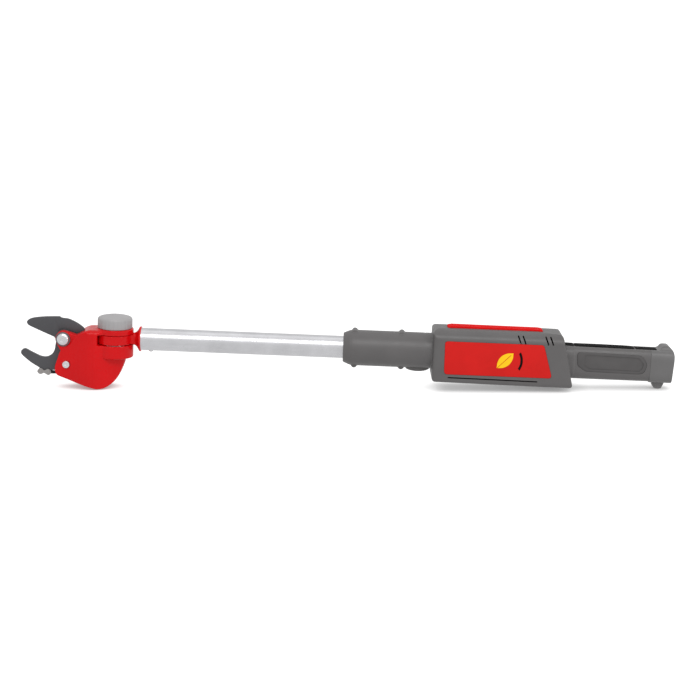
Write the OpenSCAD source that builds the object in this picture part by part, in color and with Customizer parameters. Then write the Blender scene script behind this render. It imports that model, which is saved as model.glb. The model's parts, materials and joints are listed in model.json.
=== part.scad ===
// Cordless telescoping pole pruner: a battery handle, a tube that slides out of it and a swivelling head
// with a hooked jaw and a motor-driven bypass blade.
// Millimetres. +X runs along the tube from the head to the handle, +Z is up, the side of the tool that
// carries the pivot bolt's head faces -Y. The origin is under the middle of the tool, at the level of the
// head's lowest point. Modules are written about the tube's axis and lifted by axis_z at the end.

/* [Tube] */
// Height of the tube's axis above the head's lowest point
axis_z = 67.2; // [60:0.1:80]
// Outer diameter of the sliding tube
tube_d = 30; // [25:0.5:35]
// Wall thickness of the tube
tube_wall = 1.5; // [1:0.1:3]
// Where the tube meets the neck's flange
tube_front_x = -278.6; // [-320:0.1:-240]
// Length of the sliding tube
tube_length = 554; // [450:1:600]
// How far the tube slides out
tube_travel = 200; // [100:1:200]

/* [Handle] */
// Front end of the collar
collar_front_x = -7.3; // [-20:0.1:10]
// Outer radius of the collar
collar_r = 23.4; // [21:0.1:26]
// Radius of the collar's front rim
collar_rim_r = 18.6; // [18:0.1:22]
// Radius of the long bore that the tube runs through
handle_bore_r = 17.6; // [17.2:0.1:18]
// Front end of the wedge-shaped battery housing
wedge_front_x = 112; // [105:0.5:120]
// Half of the wedge's width
wedge_half_w = 32; // [28:0.5:36]
// Rear end of the wedge at its foot
wedge_rear_x = 300.4; // [290:0.1:310]
// Top of the wedge
wedge_top_z = 34; // [32:0.1:38]
// Bottom of the wedge at its rear
wedge_foot_z = -38.4; // [-42:0.1:-34]
// Wall thickness of the wedge
shell_wall = 3; // [2:0.1:4]
// Half of the grip's width
grip_half_w = 18.5; // [16:0.5:22]
// Top of the grip
grip_top_z = 16.6; // [15:0.1:20]
// Bottom of the grip
grip_foot_z = -29.3; // [-32:0.1:-26]
// Where the grip ends and its end cap begins
grip_end_x = 404; // [395:0.5:410]
// Rear end of the tool
tool_end_x = 436; // [430:0.1:445]

/* [Head] */
// Axis of the swivel and of its clamping knob
knob_x = -314; // [-320:0.1:-305]
// Radius of the swivel's ears
ear_r = 25; // [22:0.1:28]
// Radius of the knob
knob_r = 23.2; // [20:0.1:24]
// Underside and top of the knob
knob_z = [14.2, 31.4];
// Pivot of the blade, along x and z
pivot = [-381.3, -1.7];
// Radius of the ears around the pivot
pivot_ear_r = 10.5; // [9:0.1:12]
// Screw that holds the jaw in the housing, along x and z
jaw_screw_at = [-376.9, -35.9];
// Angle that the blade closes through
close_angle = 46; // [30:1:50]
// Half of the gearbox's width at the swivel
head_half_w = 24.5; // [20:0.1:28]

/* [Drive] */
// Tooth size of the blade's toothed sector and its pinion
sector_module = 1.25; // [1:0.05:1.5]
// Teeth of a full gear of the sector's size
sector_teeth = 40; // [36:1:44]
// Teeth of the drive pinion and of the motor's pinion
pinion_teeth = 12; // [10:1:14]
// Tooth size of the reduction gear
gear_module = 1; // [0.8:0.05:1.2]
// Teeth of the reduction gear
gear_teeth = 36; // [30:1:40]
// Direction from the blade's pivot to the drive shaft
shaft_angle = -45; // [-55:1:-40]
// Direction from the drive shaft to the motor
motor_angle = -43; // [-50:1:-35]
// Thickness taken off each tooth for backlash
tooth_slack = 0.16; // [0.1:0.01:0.3]

/* [Hidden] */
$fn = 64;
tube_r = tube_d / 2;
tube_inner_r = tube_r - tube_wall;
tube_rear_x = tube_front_x + tube_length;
run_gap = 0.05;
centre_slack = 0.1;
pressure_angle = 25;
blade_y = [0.1, 4.1];
jaw_y = [-4.9, -0.1];
head_split_y = 5;
head_wall = 3;
gap_z = [-7.4, 6.8];
eye_half_h = 6.5;
bolt_r = 4;
bolt_hole_r = 4.3;
pivot_r = 5;
screw_r = 1.5;
screw_head_r = 2.8;
screw_y = [-8, 7];
snap_x = -265.2;
bowl_at = [-336, -35.2];
bowl_r = 32;
stern_x = [-336, -313.6];
shaft_reach = sector_module * (sector_teeth + pinion_teeth) / 2 + centre_slack;
motor_reach = gear_module * (gear_teeth + pinion_teeth) / 2 + centre_slack;
shaft_at = pivot + shaft_reach * [cos(shaft_angle), sin(shaft_angle)];
motor_at = shaft_at + motor_reach * [cos(motor_angle), sin(motor_angle)];
gear_y = [7.2, 11.6];
gear_room_r = gear_module * (gear_teeth / 2 + 1.6);
pinion_room_r = sector_module * (pinion_teeth / 2 + 1.6);
washer_seat_y = -14.9;
jaw_screw_seat_y = -15.6;
nut_seat_y = 14;
rivets = [[-412.7, -48.6], [-402.6, -49.4]];
collar_boss_z = 21.9;
collar_bosses = [[8, collar_boss_z], [8, -collar_boss_z], [71, collar_boss_z], [71, -collar_boss_z]];
wedge_posts = [[120.5, 26.5], [121, -27], [272, -27], [243, 26]];
grip_posts = [[313, -21.2], [394, -21.2]];
post_r = 4;
cover_screws_at = [[-376.5, -50.9], [-352, -55.5], [-318, -52]];
trigger_pin_at = [306.6, 12.4];
trigger_x = [303.2, 383];
trigger_half_w = 9;
knuckle_r = 2.6;
lock_pin_at = [106, -20.6];
lock_x = [77, 109];
lock_half_w = 6.5;
panel_depth = 1;
panel_proud = 0.3;
mark_proud = 0.5;
pad_proud = 0.4;
inlay_gap = 0.15;
roof_drop = 13;
roof_slope = 20;
foot_r = 7;
grip_r = 13;
strip_x = [131.4, 258.8];
strip_half_w = 9.8;
strip_top_z = 36.4;
strip_bed_z = wedge_top_z - 1.2;
socket_z = 23.6;
cap_half_w = 19;
head_roof_z = 12.8;
head_roof_r = 8;
ear_top_z = 14;
ear_foot_z = -25;
swivel_room_front_x = knob_x - 24.4;
plastic = [0.42, 0.41, 0.40];
red = [0.82, 0.16, 0.15];
steel = [0.75, 0.75, 0.76];
black = [0.10, 0.10, 0.10];

// ---- shared helpers ----

// A cylinder along Y through the point [x, z]
module rod_y(at, r, y) {
  translate([at[0], y[0], at[1]]) rotate([-90, 0, 0]) cylinder(h = y[1] - y[0], r = r);
}

// A cylinder along X, centred on the point [y, z]
module rod_x(x, r, at = [0, 0]) {
  translate([x[0], at[0], at[1]]) rotate([0, 90, 0]) cylinder(h = x[1] - x[0], r = r);
}

// A cylinder along Z on the swivel's axis
module rod_swivel(z, r) {
  translate([knob_x, 0, z[0]]) cylinder(h = z[1] - z[0], r = r);
}

// A side outline, drawn in x and z, given thickness along Y
module side(y) {
  translate([0, y[1], 0]) rotate([90, 0, 0]) linear_extrude(y[1] - y[0]) children();
}

// A cross-section, drawn in y and z, drawn out along X
module section(x) {
  translate([x[0], 0, 0]) rotate([90, 0, 90]) linear_extrude(x[1] - x[0]) children();
}

// A rectangle with round corners
module round_rect(low, high, r) {
  translate([low[0] + r, low[1]]) square([high[0] - low[0] - 2 * r, high[1] - low[1]]);
  translate([low[0], low[1] + r]) square([high[0] - low[0], high[1] - low[1] - 2 * r]);
  for (x = [low[0] + r, high[0] - r])
    for (y = [low[1] + r, high[1] - r])
      translate([x, y]) circle(r);
}

// A box between two corners
module box(low, high) {
  translate(low) cube(high - low);
}

// ---- gears ----

// How far an involute has turned from its base circle at radius r, in degrees
function unwound(base_r, r) = let (t = sqrt(max(0, r * r / (base_r * base_r) - 1))) t * 180 / PI - atan(t);

// Half of a tooth's angle at radius r
function half_tooth(m, teeth, r) =
  let (pitch_r = m * teeth / 2, base_r = pitch_r * cos(pressure_angle))
  90 / teeth - tooth_slack / pitch_r * 90 / PI + unwound(base_r, pitch_r) - unwound(base_r, max(r, base_r));

function on_circle(r, a) = [r * cos(a), r * sin(a)];

// One tooth centred on the angle a, from its root round to its root again
function tooth(m, teeth, a) =
  let (
    pitch_r = m * teeth / 2,
    root_r = pitch_r - 1.2 * m,
    start_r = max(pitch_r * cos(pressure_angle), root_r),
    tip_r = pitch_r + 0.9 * m,
    radii = [root_r, for (i = [0:4]) start_r + (tip_r - start_r) * i / 4]
  )
  concat(
    [for (r = radii) on_circle(r, a - half_tooth(m, teeth, r))],
    [for (i = [len(radii) - 1:-1:0]) on_circle(radii[i], a + half_tooth(m, teeth, radii[i]))]
  );

// A spur gear's outline with one tooth centred on the angle phase
module gear_outline(m, teeth, phase) {
  polygon([for (k = [0:teeth - 1]) each tooth(m, teeth, phase + k * 360 / teeth)]);
}

// ---- tube ----

module tube() {
  color(steel) difference() {
    rod_x([tube_front_x, tube_rear_x], tube_r);
    rod_x([tube_front_x - 1, tube_rear_x + 1], tube_inner_r);
    translate([snap_x, 0, -tube_r - 2]) cylinder(h = 6, r = 3 + run_gap);
  }
}

// Plastic plug with a stop flange that keeps the tube from leaving the handle
module tail_plug() {
  color(black) difference() {
    union() {
      rod_x([tube_rear_x - 14, tube_rear_x], tube_inner_r - run_gap);
      rod_x([tube_rear_x, tube_rear_x + 4], handle_bore_r - 0.8);
    }
    rod_x([tube_rear_x - 15, tube_rear_x + 5], 9.4);
  }
}

// Coiled power lead, shown as the space its coil fills
module coil_lead() {
  color(black) difference() {
    rod_x([-236, 290], 8.6);
    rod_x([-237, 291], 5.4);
  }
}

// Swivel eye, arm, flared flange and the spigot that enters the tube
module neck() {
  color(red) difference() {
    union() {
      rod_swivel([-eye_half_h, eye_half_h], 24);
      box([knob_x + 15, -8, -eye_half_h], [-286, 8, eye_half_h]);
      rod_x([-287.6, -284], 8.6);
      translate([-284, 0, 0]) rotate([0, 90, 0]) cylinder(h = 4, r1 = 8.6, r2 = 16.2);
      rod_x([-280, tube_front_x], 16.2);
      rod_x([tube_front_x, -240], tube_inner_r - run_gap);
    }
    rod_swivel([-10, 10], bolt_hole_r);
    rod_x([-276, -239], 9);
    translate([snap_x, 0, -tube_r - 2]) cylinder(h = 12, r = 3 + run_gap);
  }
}

module swivel_washers() {
  color(steel) for (z = [[-7.3, -6.55], [6.52, 6.75]])
    difference() {
      rod_swivel(z, 20);
      rod_swivel([z[0] - 1, z[1] + 1], bolt_hole_r);
    }
}

module snap_button() {
  color(steel) {
    translate([snap_x, 0, -17]) cylinder(h = 9, r = 3);
    translate([snap_x, 0, -8.2]) cylinder(h = 1.2, r = 3.6);
  }
}

module snap_spring() {
  color(steel) difference() {
    translate([snap_x, 0, -6.9]) cylinder(h = 14, r = 2.6);
    translate([snap_x, 0, -8]) cylinder(h = 16, r = 1.6);
  }
}

// ---- cutting head ----

// Side outline of the gearbox, with the blade's ear and the round bowl under the swivel
module head_outline() {
  polygon([[-371, -9], [-384.2, -17.1], [-388.4, -28.2], [-392, -39.3], [-391.7, -46.2], [-389.3, -50.9],
           [-371.2, -57], [-345, -65], [-309, -53], [-299, -28], [-299, -20], [knob_x, -10], [knob_x, 12.4],
           [-339, 12.8], [-344, 12.8], [-348.4, 12.2], [-352.8, 10.4], [-358.8, 7.2], [-366.4, 3.2]]);
  polygon([pivot + [-6, -8.5], pivot + [6, 8.6], [-366, 4.2], [-362, -12], [-372, -20], [-384.2, -17.1]]);
  translate(pivot) circle(pivot_ear_r);
  translate(bowl_at) circle(bowl_r);
}

// Plan outline of the gearbox: narrow at the blade, full width at the motor, tapered behind it
module head_plan(inset = 0) {
  w = head_half_w - inset;
  stern_r = 15 - inset;
  polygon([[-395, -14.5 + inset], [-372, -16.5 + inset], [-347, -w], [stern_x[0], -w], [-325.6, -w * 0.906],
           [stern_x[1], -stern_r], [stern_x[1], stern_r], [-325.6, w * 0.906], [stern_x[0], w], [-347, w],
           [-372, 16.5 - inset], [-395, 14.5 - inset]]);
  translate([stern_x[0], 0]) circle(w);
  translate([stern_x[1], 0]) circle(stern_r);
}

module head_block() {
  intersection() {
    side([-30, 30]) head_outline();
    translate([0, 0, -80]) linear_extrude(160) head_plan();
    section([-400, -280]) round_rect([-head_half_w, -90], [head_half_w, head_roof_z], head_roof_r);
  }
  rod_swivel([gap_z[1], ear_top_z], ear_r);
  rod_swivel([ear_foot_z, gap_z[0]], ear_r);
}

// The part of the gearbox that the cover closes
module cover_zone() {
  difference() {
    polygon([[-400, -80], [-280, -80], [-280, -29], [-345, -29], [-354, -8], [-354, 30], [-400, 30]]);
    translate([knob_x, -29]) circle(9);
  }
}

// Hollow for the gears and the motor
module head_hollow() {
  intersection() {
    side([-30, 30]) intersection() {
      offset(delta = -head_wall) head_outline();
      offset(delta = -head_wall) cover_zone();
    }
    translate([0, 0, -80]) linear_extrude(160) head_plan(head_wall);
  }
}

// Gap in the middle plane for the jaw and for the blade's swing
module blade_slot() {
  side([jaw_y[0] - run_gap, blade_y[1] + 0.3]) {
    translate(pivot) circle(29.6);
    polygon([[-400, -46.7], [-366, -46.7], [-366, 0], [-400, 26]]);
    polygon([[-400, -53], [-386, -53], [-386, -45], [-400, -45]]);
  }
}

module head_bores() {
  rod_y(pivot, pivot_r + run_gap, [-40, 40]);
  rod_y(jaw_screw_at, 2.5, [-40, 40]);
  rod_y(shaft_at, 3 + run_gap, [-18.2, 16]);
  for (at = cover_screws_at) rod_y(at, screw_r, [-8, 40]);
}

module head_casting() {
  color(red) difference() {
    union() {
      difference() {
        head_block();
        head_hollow();
      }
      intersection() {
        head_block();
        union() {
          rod_y(pivot, pivot_ear_r, [-30, jaw_y[0] - run_gap]);
          rod_y(jaw_screw_at, 6, [-30, jaw_y[0] - run_gap]);
          rod_y(shaft_at, 6, [-30, -6]);
          for (at = cover_screws_at) rod_y(at, 4, [-30, head_split_y]);
        }
      }
    }
    side([head_split_y, 40]) cover_zone();
    blade_slot();
    head_bores();
    box([swivel_room_front_x, -30, gap_z[0]], [knob_x + 36, 30, gap_z[1]]);
    rod_swivel([-24, 30], bolt_hole_r);
    rod_swivel([-21, -14], 7.6);
    rod_y(motor_at, 14.1, [-17.3, 5.6]);
    rod_y(shaft_at, gear_room_r, [gear_y[0] - 0.6, gear_y[1] + 0.6]);
    rod_y(shaft_at, pinion_room_r, [-0.4, 4.7]);
    rod_y(pivot, pivot_ear_r + 0.1, [-40, washer_seat_y]);
    rod_y(jaw_screw_at, 5.4, [-40, jaw_screw_seat_y]);
  }
}

module head_cover() {
  color(red) difference() {
    union() {
      difference() {
        head_block();
        head_hollow();
      }
      intersection() {
        head_block();
        union() {
          rod_y(pivot, pivot_ear_r, [head_split_y, 30]);
          rod_y(shaft_at, 6, [12.4, 30]);
          for (at = cover_screws_at) rod_y(at, 4, [head_split_y, 30]);
        }
      }
    }
    side([-40, head_split_y]) square(900, center = true);
    side([head_split_y - 1, 40]) difference() {
      square(900, center = true);
      offset(delta = -0.1) cover_zone();
    }
    rod_swivel([-30, 30], ear_r + 0.2);
    head_bores();
    rod_y(motor_at, 8, [0, 12.6]);
    rod_y(shaft_at, gear_room_r, [0, gear_y[1] + 0.6]);
    rod_y(pivot, 9, [nut_seat_y, 40]);
    for (at = cover_screws_at) rod_y(at, screw_head_r + 0.3, [13, 40]);
    rod_y(jaw_screw_at, 5.6, [13, 40]);
  }
}

module cover_screws() {
  color(steel) for (at = cover_screws_at) {
    rod_y(at, screw_r - run_gap, [-7, 13.1]);
    rod_y(at, screw_head_r, [13, 15.2]);
  }
}

module jaw() {
  color([0.34, 0.34, 0.35]) side(jaw_y) difference() {
    union() {
      polygon([[-437.2, -27.6], [-433.2, -31.5], [-425.1, -37.8], [-417, -42.5], [-408.9, -47],
               [-400.8, -47.4], [-394.1, -46.4], [-372, -46.4], [-366.6, -44], [-366.6, -20], [-369.4, -4],
               [-392, -4], [-393, -11.2], [-393.6, -17.4], [-396.2, -23.1], [-400.3, -27], [-405.6, -29.2],
               [-411.7, -28.6], [-417.1, -26.6], [-426.5, -22.2], [-433.2, -18.8], [-436.6, -19.7],
               [-438.6, -21.7], [-439.1, -24.2]]);
      translate(pivot) circle(11.2);
      translate(rivets[0]) circle(3.4);
    }
    translate(pivot) circle(pivot_r + run_gap);
    translate(jaw_screw_at) circle(2.5);
    for (at = rivets) translate(at) circle(1.5);
    translate(rivets[1]) circle(3.4);
  }
}

module jaw_screw() {
  color(steel) {
    rod_y(jaw_screw_at, 5, [-18, jaw_screw_seat_y]);
    rod_y(jaw_screw_at, 2.45, [jaw_screw_seat_y - 0.1, 14.5]);
    rod_y(jaw_screw_at, 5, [13.1, 16]);
  }
}

// Two figure-of-eight plates riveted across the jaw's heel
module heel_link() {
  color(steel) {
    for (y = [[-6.5, -5.1], [0.1, 1.5]]) side(y) difference() {
      union() {
        for (at = rivets) translate(at) circle(4.2);
        polygon([rivets[0] - [0, 2.4], rivets[1] - [0, 2.4], rivets[1] + [0, 2.4], rivets[0] + [0, 2.4]]);
      }
      for (at = rivets) translate(at) circle(1.45);
    }
    for (at = rivets) {
      rod_y(at, 1.45, [-6.6, 1.6]);
      rod_y(at, 2.4, [-7.3, -6.5]);
      rod_y(at, 2.4, [1.5, 2.3]);
    }
  }
}

// Black stay from the rivet nearest the housing into the housing's front slot
module link_stay() {
  color(black) side([-4.6, -0.4]) difference() {
    union() {
      translate(rivets[1]) circle(3);
      polygon([rivets[1] - [0, 2.4], [-387, -51.4], [-387, -47.8], rivets[1] + [0, 1.5]]);
    }
    translate(rivets[1]) circle(1.5);
  }
}

module blade() {
  // angles of the first and last whole tooth of the sector, counted in tooth pitches from the drive shaft
  pitch = 360 / sector_teeth;
  first = -ceil((close_angle + 8) / pitch);
  tip_r = sector_module * (sector_teeth / 2 - 1.2) + 0.2;
  color([0.33, 0.33, 0.35]) side(blade_y) difference() {
    union() {
      polygon([[-391, -9], pivot, [-357, -5], [-354, 4], [-355.6, 10.9], [-361, 15.5], [-366.4, 18.8],
               [-371.7, 21.3], [-377.1, 23.3], [-385.2, 24.2], [-387.2, 26], [-398.6, 25.5], [-409.3, 24.8],
               [-420, 23.4], [-425.3, 22.3], [-429.3, 20.3], [-431.7, 18.2], [-431.9, 15.4], [-430, 13],
               [-422.6, 9.5], [-414.5, 6], [-406.5, 2.6], [-395.7, -2]]);
      translate(pivot) circle(12);
      translate(pivot) polygon([[0, 0], for (a = [first * pitch - 4:4:12]) on_circle(tip_r, shaft_angle + a)]);
      translate(pivot) for (k = [first:1])
        polygon(concat([[0, 0]], tooth(sector_module, sector_teeth, shaft_angle + k * pitch)));
    }
    translate(pivot) circle(pivot_r + run_gap);
  }
}

module pivot_bolt() {
  color(steel) {
    rod_y(pivot, pivot_r, [-16, 19]);
    translate([pivot[0], -16, pivot[1]]) rotate([90, 0, 0]) cylinder(h = 3.4, r1 = 8.8, r2 = 7);
  }
}

module pivot_washer() {
  color([0.55, 0.55, 0.56]) difference() {
    rod_y(pivot, 9.8, [-15.95, washer_seat_y]);
    rod_y(pivot, pivot_r + run_gap, [-17, -13]);
  }
}

module pivot_nut() {
  color(steel) difference() {
    translate([pivot[0], nut_seat_y, pivot[1]]) rotate([-90, 0, 0]) cylinder(h = 4.4, r = 8.6, $fn = 6);
    rod_y(pivot, pivot_r + run_gap, [13, 20]);
  }
}

// ---- drive ----

module drive_shaft() {
  color(steel) rod_y(shaft_at, 3, [-18, 15.8]);
}

module drive_pinion() {
  color([0.62, 0.60, 0.55]) side([0.2, 4.2]) difference() {
    translate(shaft_at) gear_outline(sector_module, pinion_teeth, shaft_angle + 180 + 180 / pinion_teeth);
    translate(shaft_at) circle(3);
  }
}

module reduction_gear() {
  color([0.62, 0.60, 0.55]) difference() {
    union() {
      side(gear_y) translate(shaft_at) gear_outline(gear_module, gear_teeth, motor_angle);
      rod_y(shaft_at, 5.6, [4.4, gear_y[1] + 0.4]);
    }
    rod_y(shaft_at, 3, [0, 20]);
  }
}

module motor_pinion() {
  color([0.8, 0.65, 0.35]) difference() {
    side(gear_y) translate(motor_at)
      gear_outline(gear_module, pinion_teeth, motor_angle + 180 + 180 / pinion_teeth);
    rod_y(motor_at, 1.6, [0, 20]);
  }
}

module motor_shaft() {
  color(steel) rod_y(motor_at, 1.6, [-15.5, gear_y[1] + 0.4]);
}

module motor() {
  color([0.6, 0.6, 0.62]) difference() {
    union() {
      rod_y(motor_at, 14, [-17, 4.4]);
      rod_y(motor_at, 5, [4.3, 5.8]);
    }
    rod_y(motor_at, 1.6 + run_gap, [-16, 7]);
  }
}

// ---- swivel clamp ----

module knob() {
  color([0.67, 0.67, 0.67]) difference() {
    translate([knob_x, 0, 0]) rotate_extrude()
      polygon([[0, knob_z[0]], [knob_r, knob_z[0]], [knob_r, 25.8], [knob_r - 0.8, 27.8], [knob_r - 3.2, 29.3],
               [14, 30.6], [7, 31.2], [0, knob_z[1]]]);
    rod_swivel([13, 15.8], 12.4);
    rod_swivel([13, 20], bolt_r + 0.4);
    translate([knob_x, 0, 18]) cylinder(h = 5.2, r = 7.6, $fn = 6);
    for (a = [0:15:345]) translate([knob_x, 0, 13]) rotate([0, 0, a]) translate([knob_r + 0.9, 0, 0])
      cylinder(h = 12, r = 1.3);
  }
}

module clamp_bolt() {
  color(steel) {
    rod_swivel([-20.6, 18.2], bolt_r);
    translate([knob_x, 0, 18.1]) cylinder(h = 5, r = 7.4, $fn = 6);
  }
}

module knob_washer() {
  color(steel) difference() {
    rod_swivel([14.05, 15.6], 12);
    rod_swivel([13, 17], bolt_r + 0.2);
  }
}

module clamp_nut() {
  color(steel) difference() {
    translate([knob_x, 0, -20.8]) cylinder(h = 6.5, r = 7.4, $fn = 6);
    rod_swivel([-22, -13], bolt_r + run_gap);
  }
}

// ---- handle ----

// Side outline of the wedge: a long flat roof that rolls over steeply behind, and a slanted rear
module wedge_outline() {
  front = wedge_front_x;
  top = wedge_top_z;
  polygon([[front, -31.5], [front + 1, -34.6], [front + 4, wedge_foot_z + 2.4], [wedge_rear_x - 4, wedge_foot_z],
           [wedge_rear_x, wedge_foot_z + 4], [295.6, -17], [290.4, 4.4], [287, 18.6], [285.6, 25], [283, 29.6],
           [278, 32.2], [270, 33.2], [250, top], [front + 7, top], [front + 3, top - 1], [front + 1, top - 3.4],
           [front, top - 7]]);
}

// Cross-section of the wedge: its roof rolls over gently to the sides
module wedge_section(inset = 0) {
  side_w = wedge_half_w;
  top = wedge_top_z;
  roll = [for (a = [0:22.5:90])
    [side_w - roof_slope * (1 - cos(a)), top - roof_drop * (1 - sin(a))]];
  intersection() {
    offset(delta = -inset)
      polygon(concat([[-side_w, -90], [side_w, -90]], roll, [for (i = [4:-1:0]) [-roll[i][0], roll[i][1]]]));
    round_rect([inset - side_w, wedge_foot_z + inset], [side_w - inset, 90], foot_r - inset);
  }
}

module grip_outline() {
  polygon([[wedge_rear_x - 30, grip_foot_z + 0.8], [grip_end_x, grip_foot_z],
           [grip_end_x, grip_top_z - 1.2], [300, grip_top_z], [286, grip_top_z + 1],
           [wedge_rear_x - 30, grip_top_z + 1]]);
}

module grip_section(inset = 0) {
  w = grip_half_w - inset;
  round_rect([-w, grip_foot_z + inset], [w, grip_top_z + 1 - inset], grip_r - inset);
}

module handle_outer() {
  rod_x([collar_front_x + 11, wedge_front_x + 6], collar_r);
  translate([collar_front_x, 0, 0]) rotate([0, 90, 0]) cylinder(h = 11, r1 = collar_rim_r, r2 = collar_r);
  for (at = collar_bosses) rod_y(at, post_r, [-10, 10]);
  intersection() {
    side([-40, 40]) wedge_outline();
    section([100, 310]) wedge_section();
  }
  intersection() {
    side([-40, 40]) grip_outline();
    section([250, 430]) grip_section();
  }
}

module handle_hollow() {
  rod_x([collar_front_x - 1, 286], handle_bore_r);
  intersection() {
    side([-40, 40]) offset(delta = -shell_wall) wedge_outline();
    section([100, 310]) wedge_section(shell_wall);
  }
  intersection() {
    side([-40, 40]) translate([3, 0]) offset(delta = -shell_wall) grip_outline();
    section([278, grip_end_x + 1]) grip_section(shell_wall);
  }
}

// Round-ended slot outline from one point to another
module slot_outline(from, to, r) {
  d = to - from;
  n = [-d[1], d[0]] * r / norm(d);
  polygon([from + n, to + n, to - n, from - n]);
  translate(from) circle(r, $fn = 24);
  translate(to) circle(r, $fn = 24);
}

module panel_outline() {
  polygon([[127.5, 17], [130.5, 20], [256.5, 20.2], [260, 17.5], [271.6, -21.5], [269.5, -25], [132, -25],
           [128.5, -21.5]]);
}

// Curved slot to the right of the panel's mark
module arc_outline() {
  centre = [208, -3];
  translate(centre) for (a = [-36:12:24])
    polygon([on_circle(20.8, a), on_circle(23, a), on_circle(23, a + 12), on_circle(20.8, a + 12)]);
}

module pad_outline() {
  polygon([[304.5, 9.3], [388, 7.4], [397, 3.5], [401, -4], [399, -12], [391, -17], [330, -16.2],
           [317, -13], [310, -6]]);
}

module vents() {
  for (x = [226, 232, 262, 268.5])
    slot_outline([x - 1.2, 29.6], [x + 2.2, 21], 1);
}

module side_cuts(sign) {
  out = sign * wedge_half_w;
  low = min(out, out - sign * panel_depth);
  side([low, low + panel_depth]) panel_outline();
  side(sign < 0 ? [-40, 8 - wedge_half_w] : [wedge_half_w - 8, 40]) vents();
  side([low, low + panel_depth]) slot_outline([134, -29], [252, -30], 1);
  grip_out = sign * grip_half_w;
  grip_in = grip_out - sign * panel_depth;
  side([min(grip_out, grip_in), max(grip_out, grip_in)]) pad_outline();
}

module posts() {
  for (at = concat(wedge_posts, grip_posts)) rod_y(at, post_r, [-40, 40]);
  // two ribs between the bore and the wedge, the first one only above the cell tray
  for (rib = [[216, 0], [281, wedge_foot_z + 1]]) section([rib[0], rib[0] + 2]) difference() {
    translate([-12, rib[1]]) square([24, 35 - rib[1]]);
    circle(handle_bore_r);
  }
}

module shell(sign) {
  difference() {
    union() {
      difference() {
        handle_outer();
        handle_hollow();
      }
      intersection() {
        handle_outer();
        posts();
      }
    }
    box(sign < 0 ? [-100, 0, -100] : [-100, -100, -100], sign < 0 ? [500, 100, 100] : [500, 0, 100]);
    side_cuts(sign);
    box([strip_x[0] - inlay_gap, -strip_half_w - inlay_gap, strip_bed_z],
        [strip_x[1] + inlay_gap, strip_half_w + inlay_gap, strip_top_z + 9]);
    box([trigger_x[0] - 0.7, -trigger_half_w - 0.3, 8], [trigger_x[1] + 0.7, trigger_half_w + 0.3, 30]);
    box([lock_x[0] - 1, -lock_half_w - 0.4, -40], [lock_x[1] + 1, lock_half_w + 0.4, -10]);
    rod_x([270, 300], 4.6, [0, socket_z]);
    rod_y(trigger_pin_at, 1.5, [-12.5, 12.5]);
    rod_y(lock_pin_at, 1.25, [-9.6, 9.6]);
    for (at = concat(collar_bosses, wedge_posts, grip_posts)) {
      rod_y(at, screw_r, [screw_y[0] - 0.5, 40]);
      rod_y(at, screw_head_r + 0.3, [screw_y[1], 40]);
    }
  }
}

module shell_left() {
  color(plastic) shell(-1);
}

module shell_right() {
  color(plastic) shell(1);
}

module shell_screws() {
  color(steel) for (at = concat(collar_bosses, wedge_posts, grip_posts)) {
    rod_y(at, screw_r - run_gap, [screw_y[0], screw_y[1] + 0.2]);
    rod_y(at, screw_head_r, [screw_y[1] + 0.05, screw_y[1] + 2.4]);
  }
}

module top_strip() {
  top = strip_top_z;
  color(red) intersection() {
    side([-strip_half_w, strip_half_w])
      polygon([[strip_x[0], strip_bed_z], [strip_x[1], strip_bed_z], [strip_x[1] - 0.6, top - 0.8],
               [strip_x[1] - 5, top - 0.3], [strip_x[0] + 5, top], [strip_x[0] + 0.8, top - 0.6]]);
    section([strip_x[0] - 5, strip_x[1] + 5]) round_rect([-strip_half_w, 20], [strip_half_w, top], 2.4);
  }
}

module side_panel(sign) {
  out = sign * (wedge_half_w + panel_proud);
  inner = sign * (wedge_half_w - panel_depth);
  color(red) side([min(out, inner), max(out, inner)]) difference() {
    offset(delta = -inlay_gap) panel_outline();
    arc_outline();
  }
}

module side_panel_left() {
  side_panel(-1);
}

module side_panel_right() {
  side_panel(1);
}

// Plain leaf mark, raised a little from its panel
module side_mark(sign) {
  near = sign * (wedge_half_w + panel_proud);
  far = near + sign * mark_proud;
  color([0.93, 0.66, 0.14]) side([min(near, far), max(near, far)]) intersection() {
    translate([200.5, -11]) circle(16.5);
    translate([213.5, 5]) circle(16.5);
  }
}

module side_mark_left() {
  side_mark(-1);
}

module side_mark_right() {
  side_mark(1);
}

module grip_pad(sign) {
  out = sign * (grip_half_w + pad_proud);
  inner = sign * (grip_half_w - panel_depth);
  color([0.3, 0.3, 0.3]) side([min(out, inner), max(out, inner)])
    offset(delta = -inlay_gap) pad_outline();
}

module grip_pad_left() {
  grip_pad(-1);
}

module grip_pad_right() {
  grip_pad(1);
}

// Side outline of the end cap, with the hump on top of its rear end
module end_outline() {
  end = tool_end_x;
  polygon([[grip_end_x, grip_foot_z - 0.3], [434.2, grip_foot_z - 0.5], [434.8, -16], [435.6, -6], [end, 4],
           [end - 0.2, 9.6], [434, 13.8], [431.5, 16.6], [428.6, 19.2], [425.7, 20.9], [423, 21.4],
           [420.4, 20.7], [418.4, 18.9], [416.6, 16.6], [413.6, 15.4], [grip_end_x, grip_top_z - 1.2]]);
}

// Cross-section of the end cap: the grip's own, with a narrower hump on it
module end_section() {
  round_rect([-cap_half_w, grip_foot_z - 0.5], [cap_half_w, grip_top_z], grip_r);
  round_rect([-14, -10], [14, 21.6], 9);
}

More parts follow.
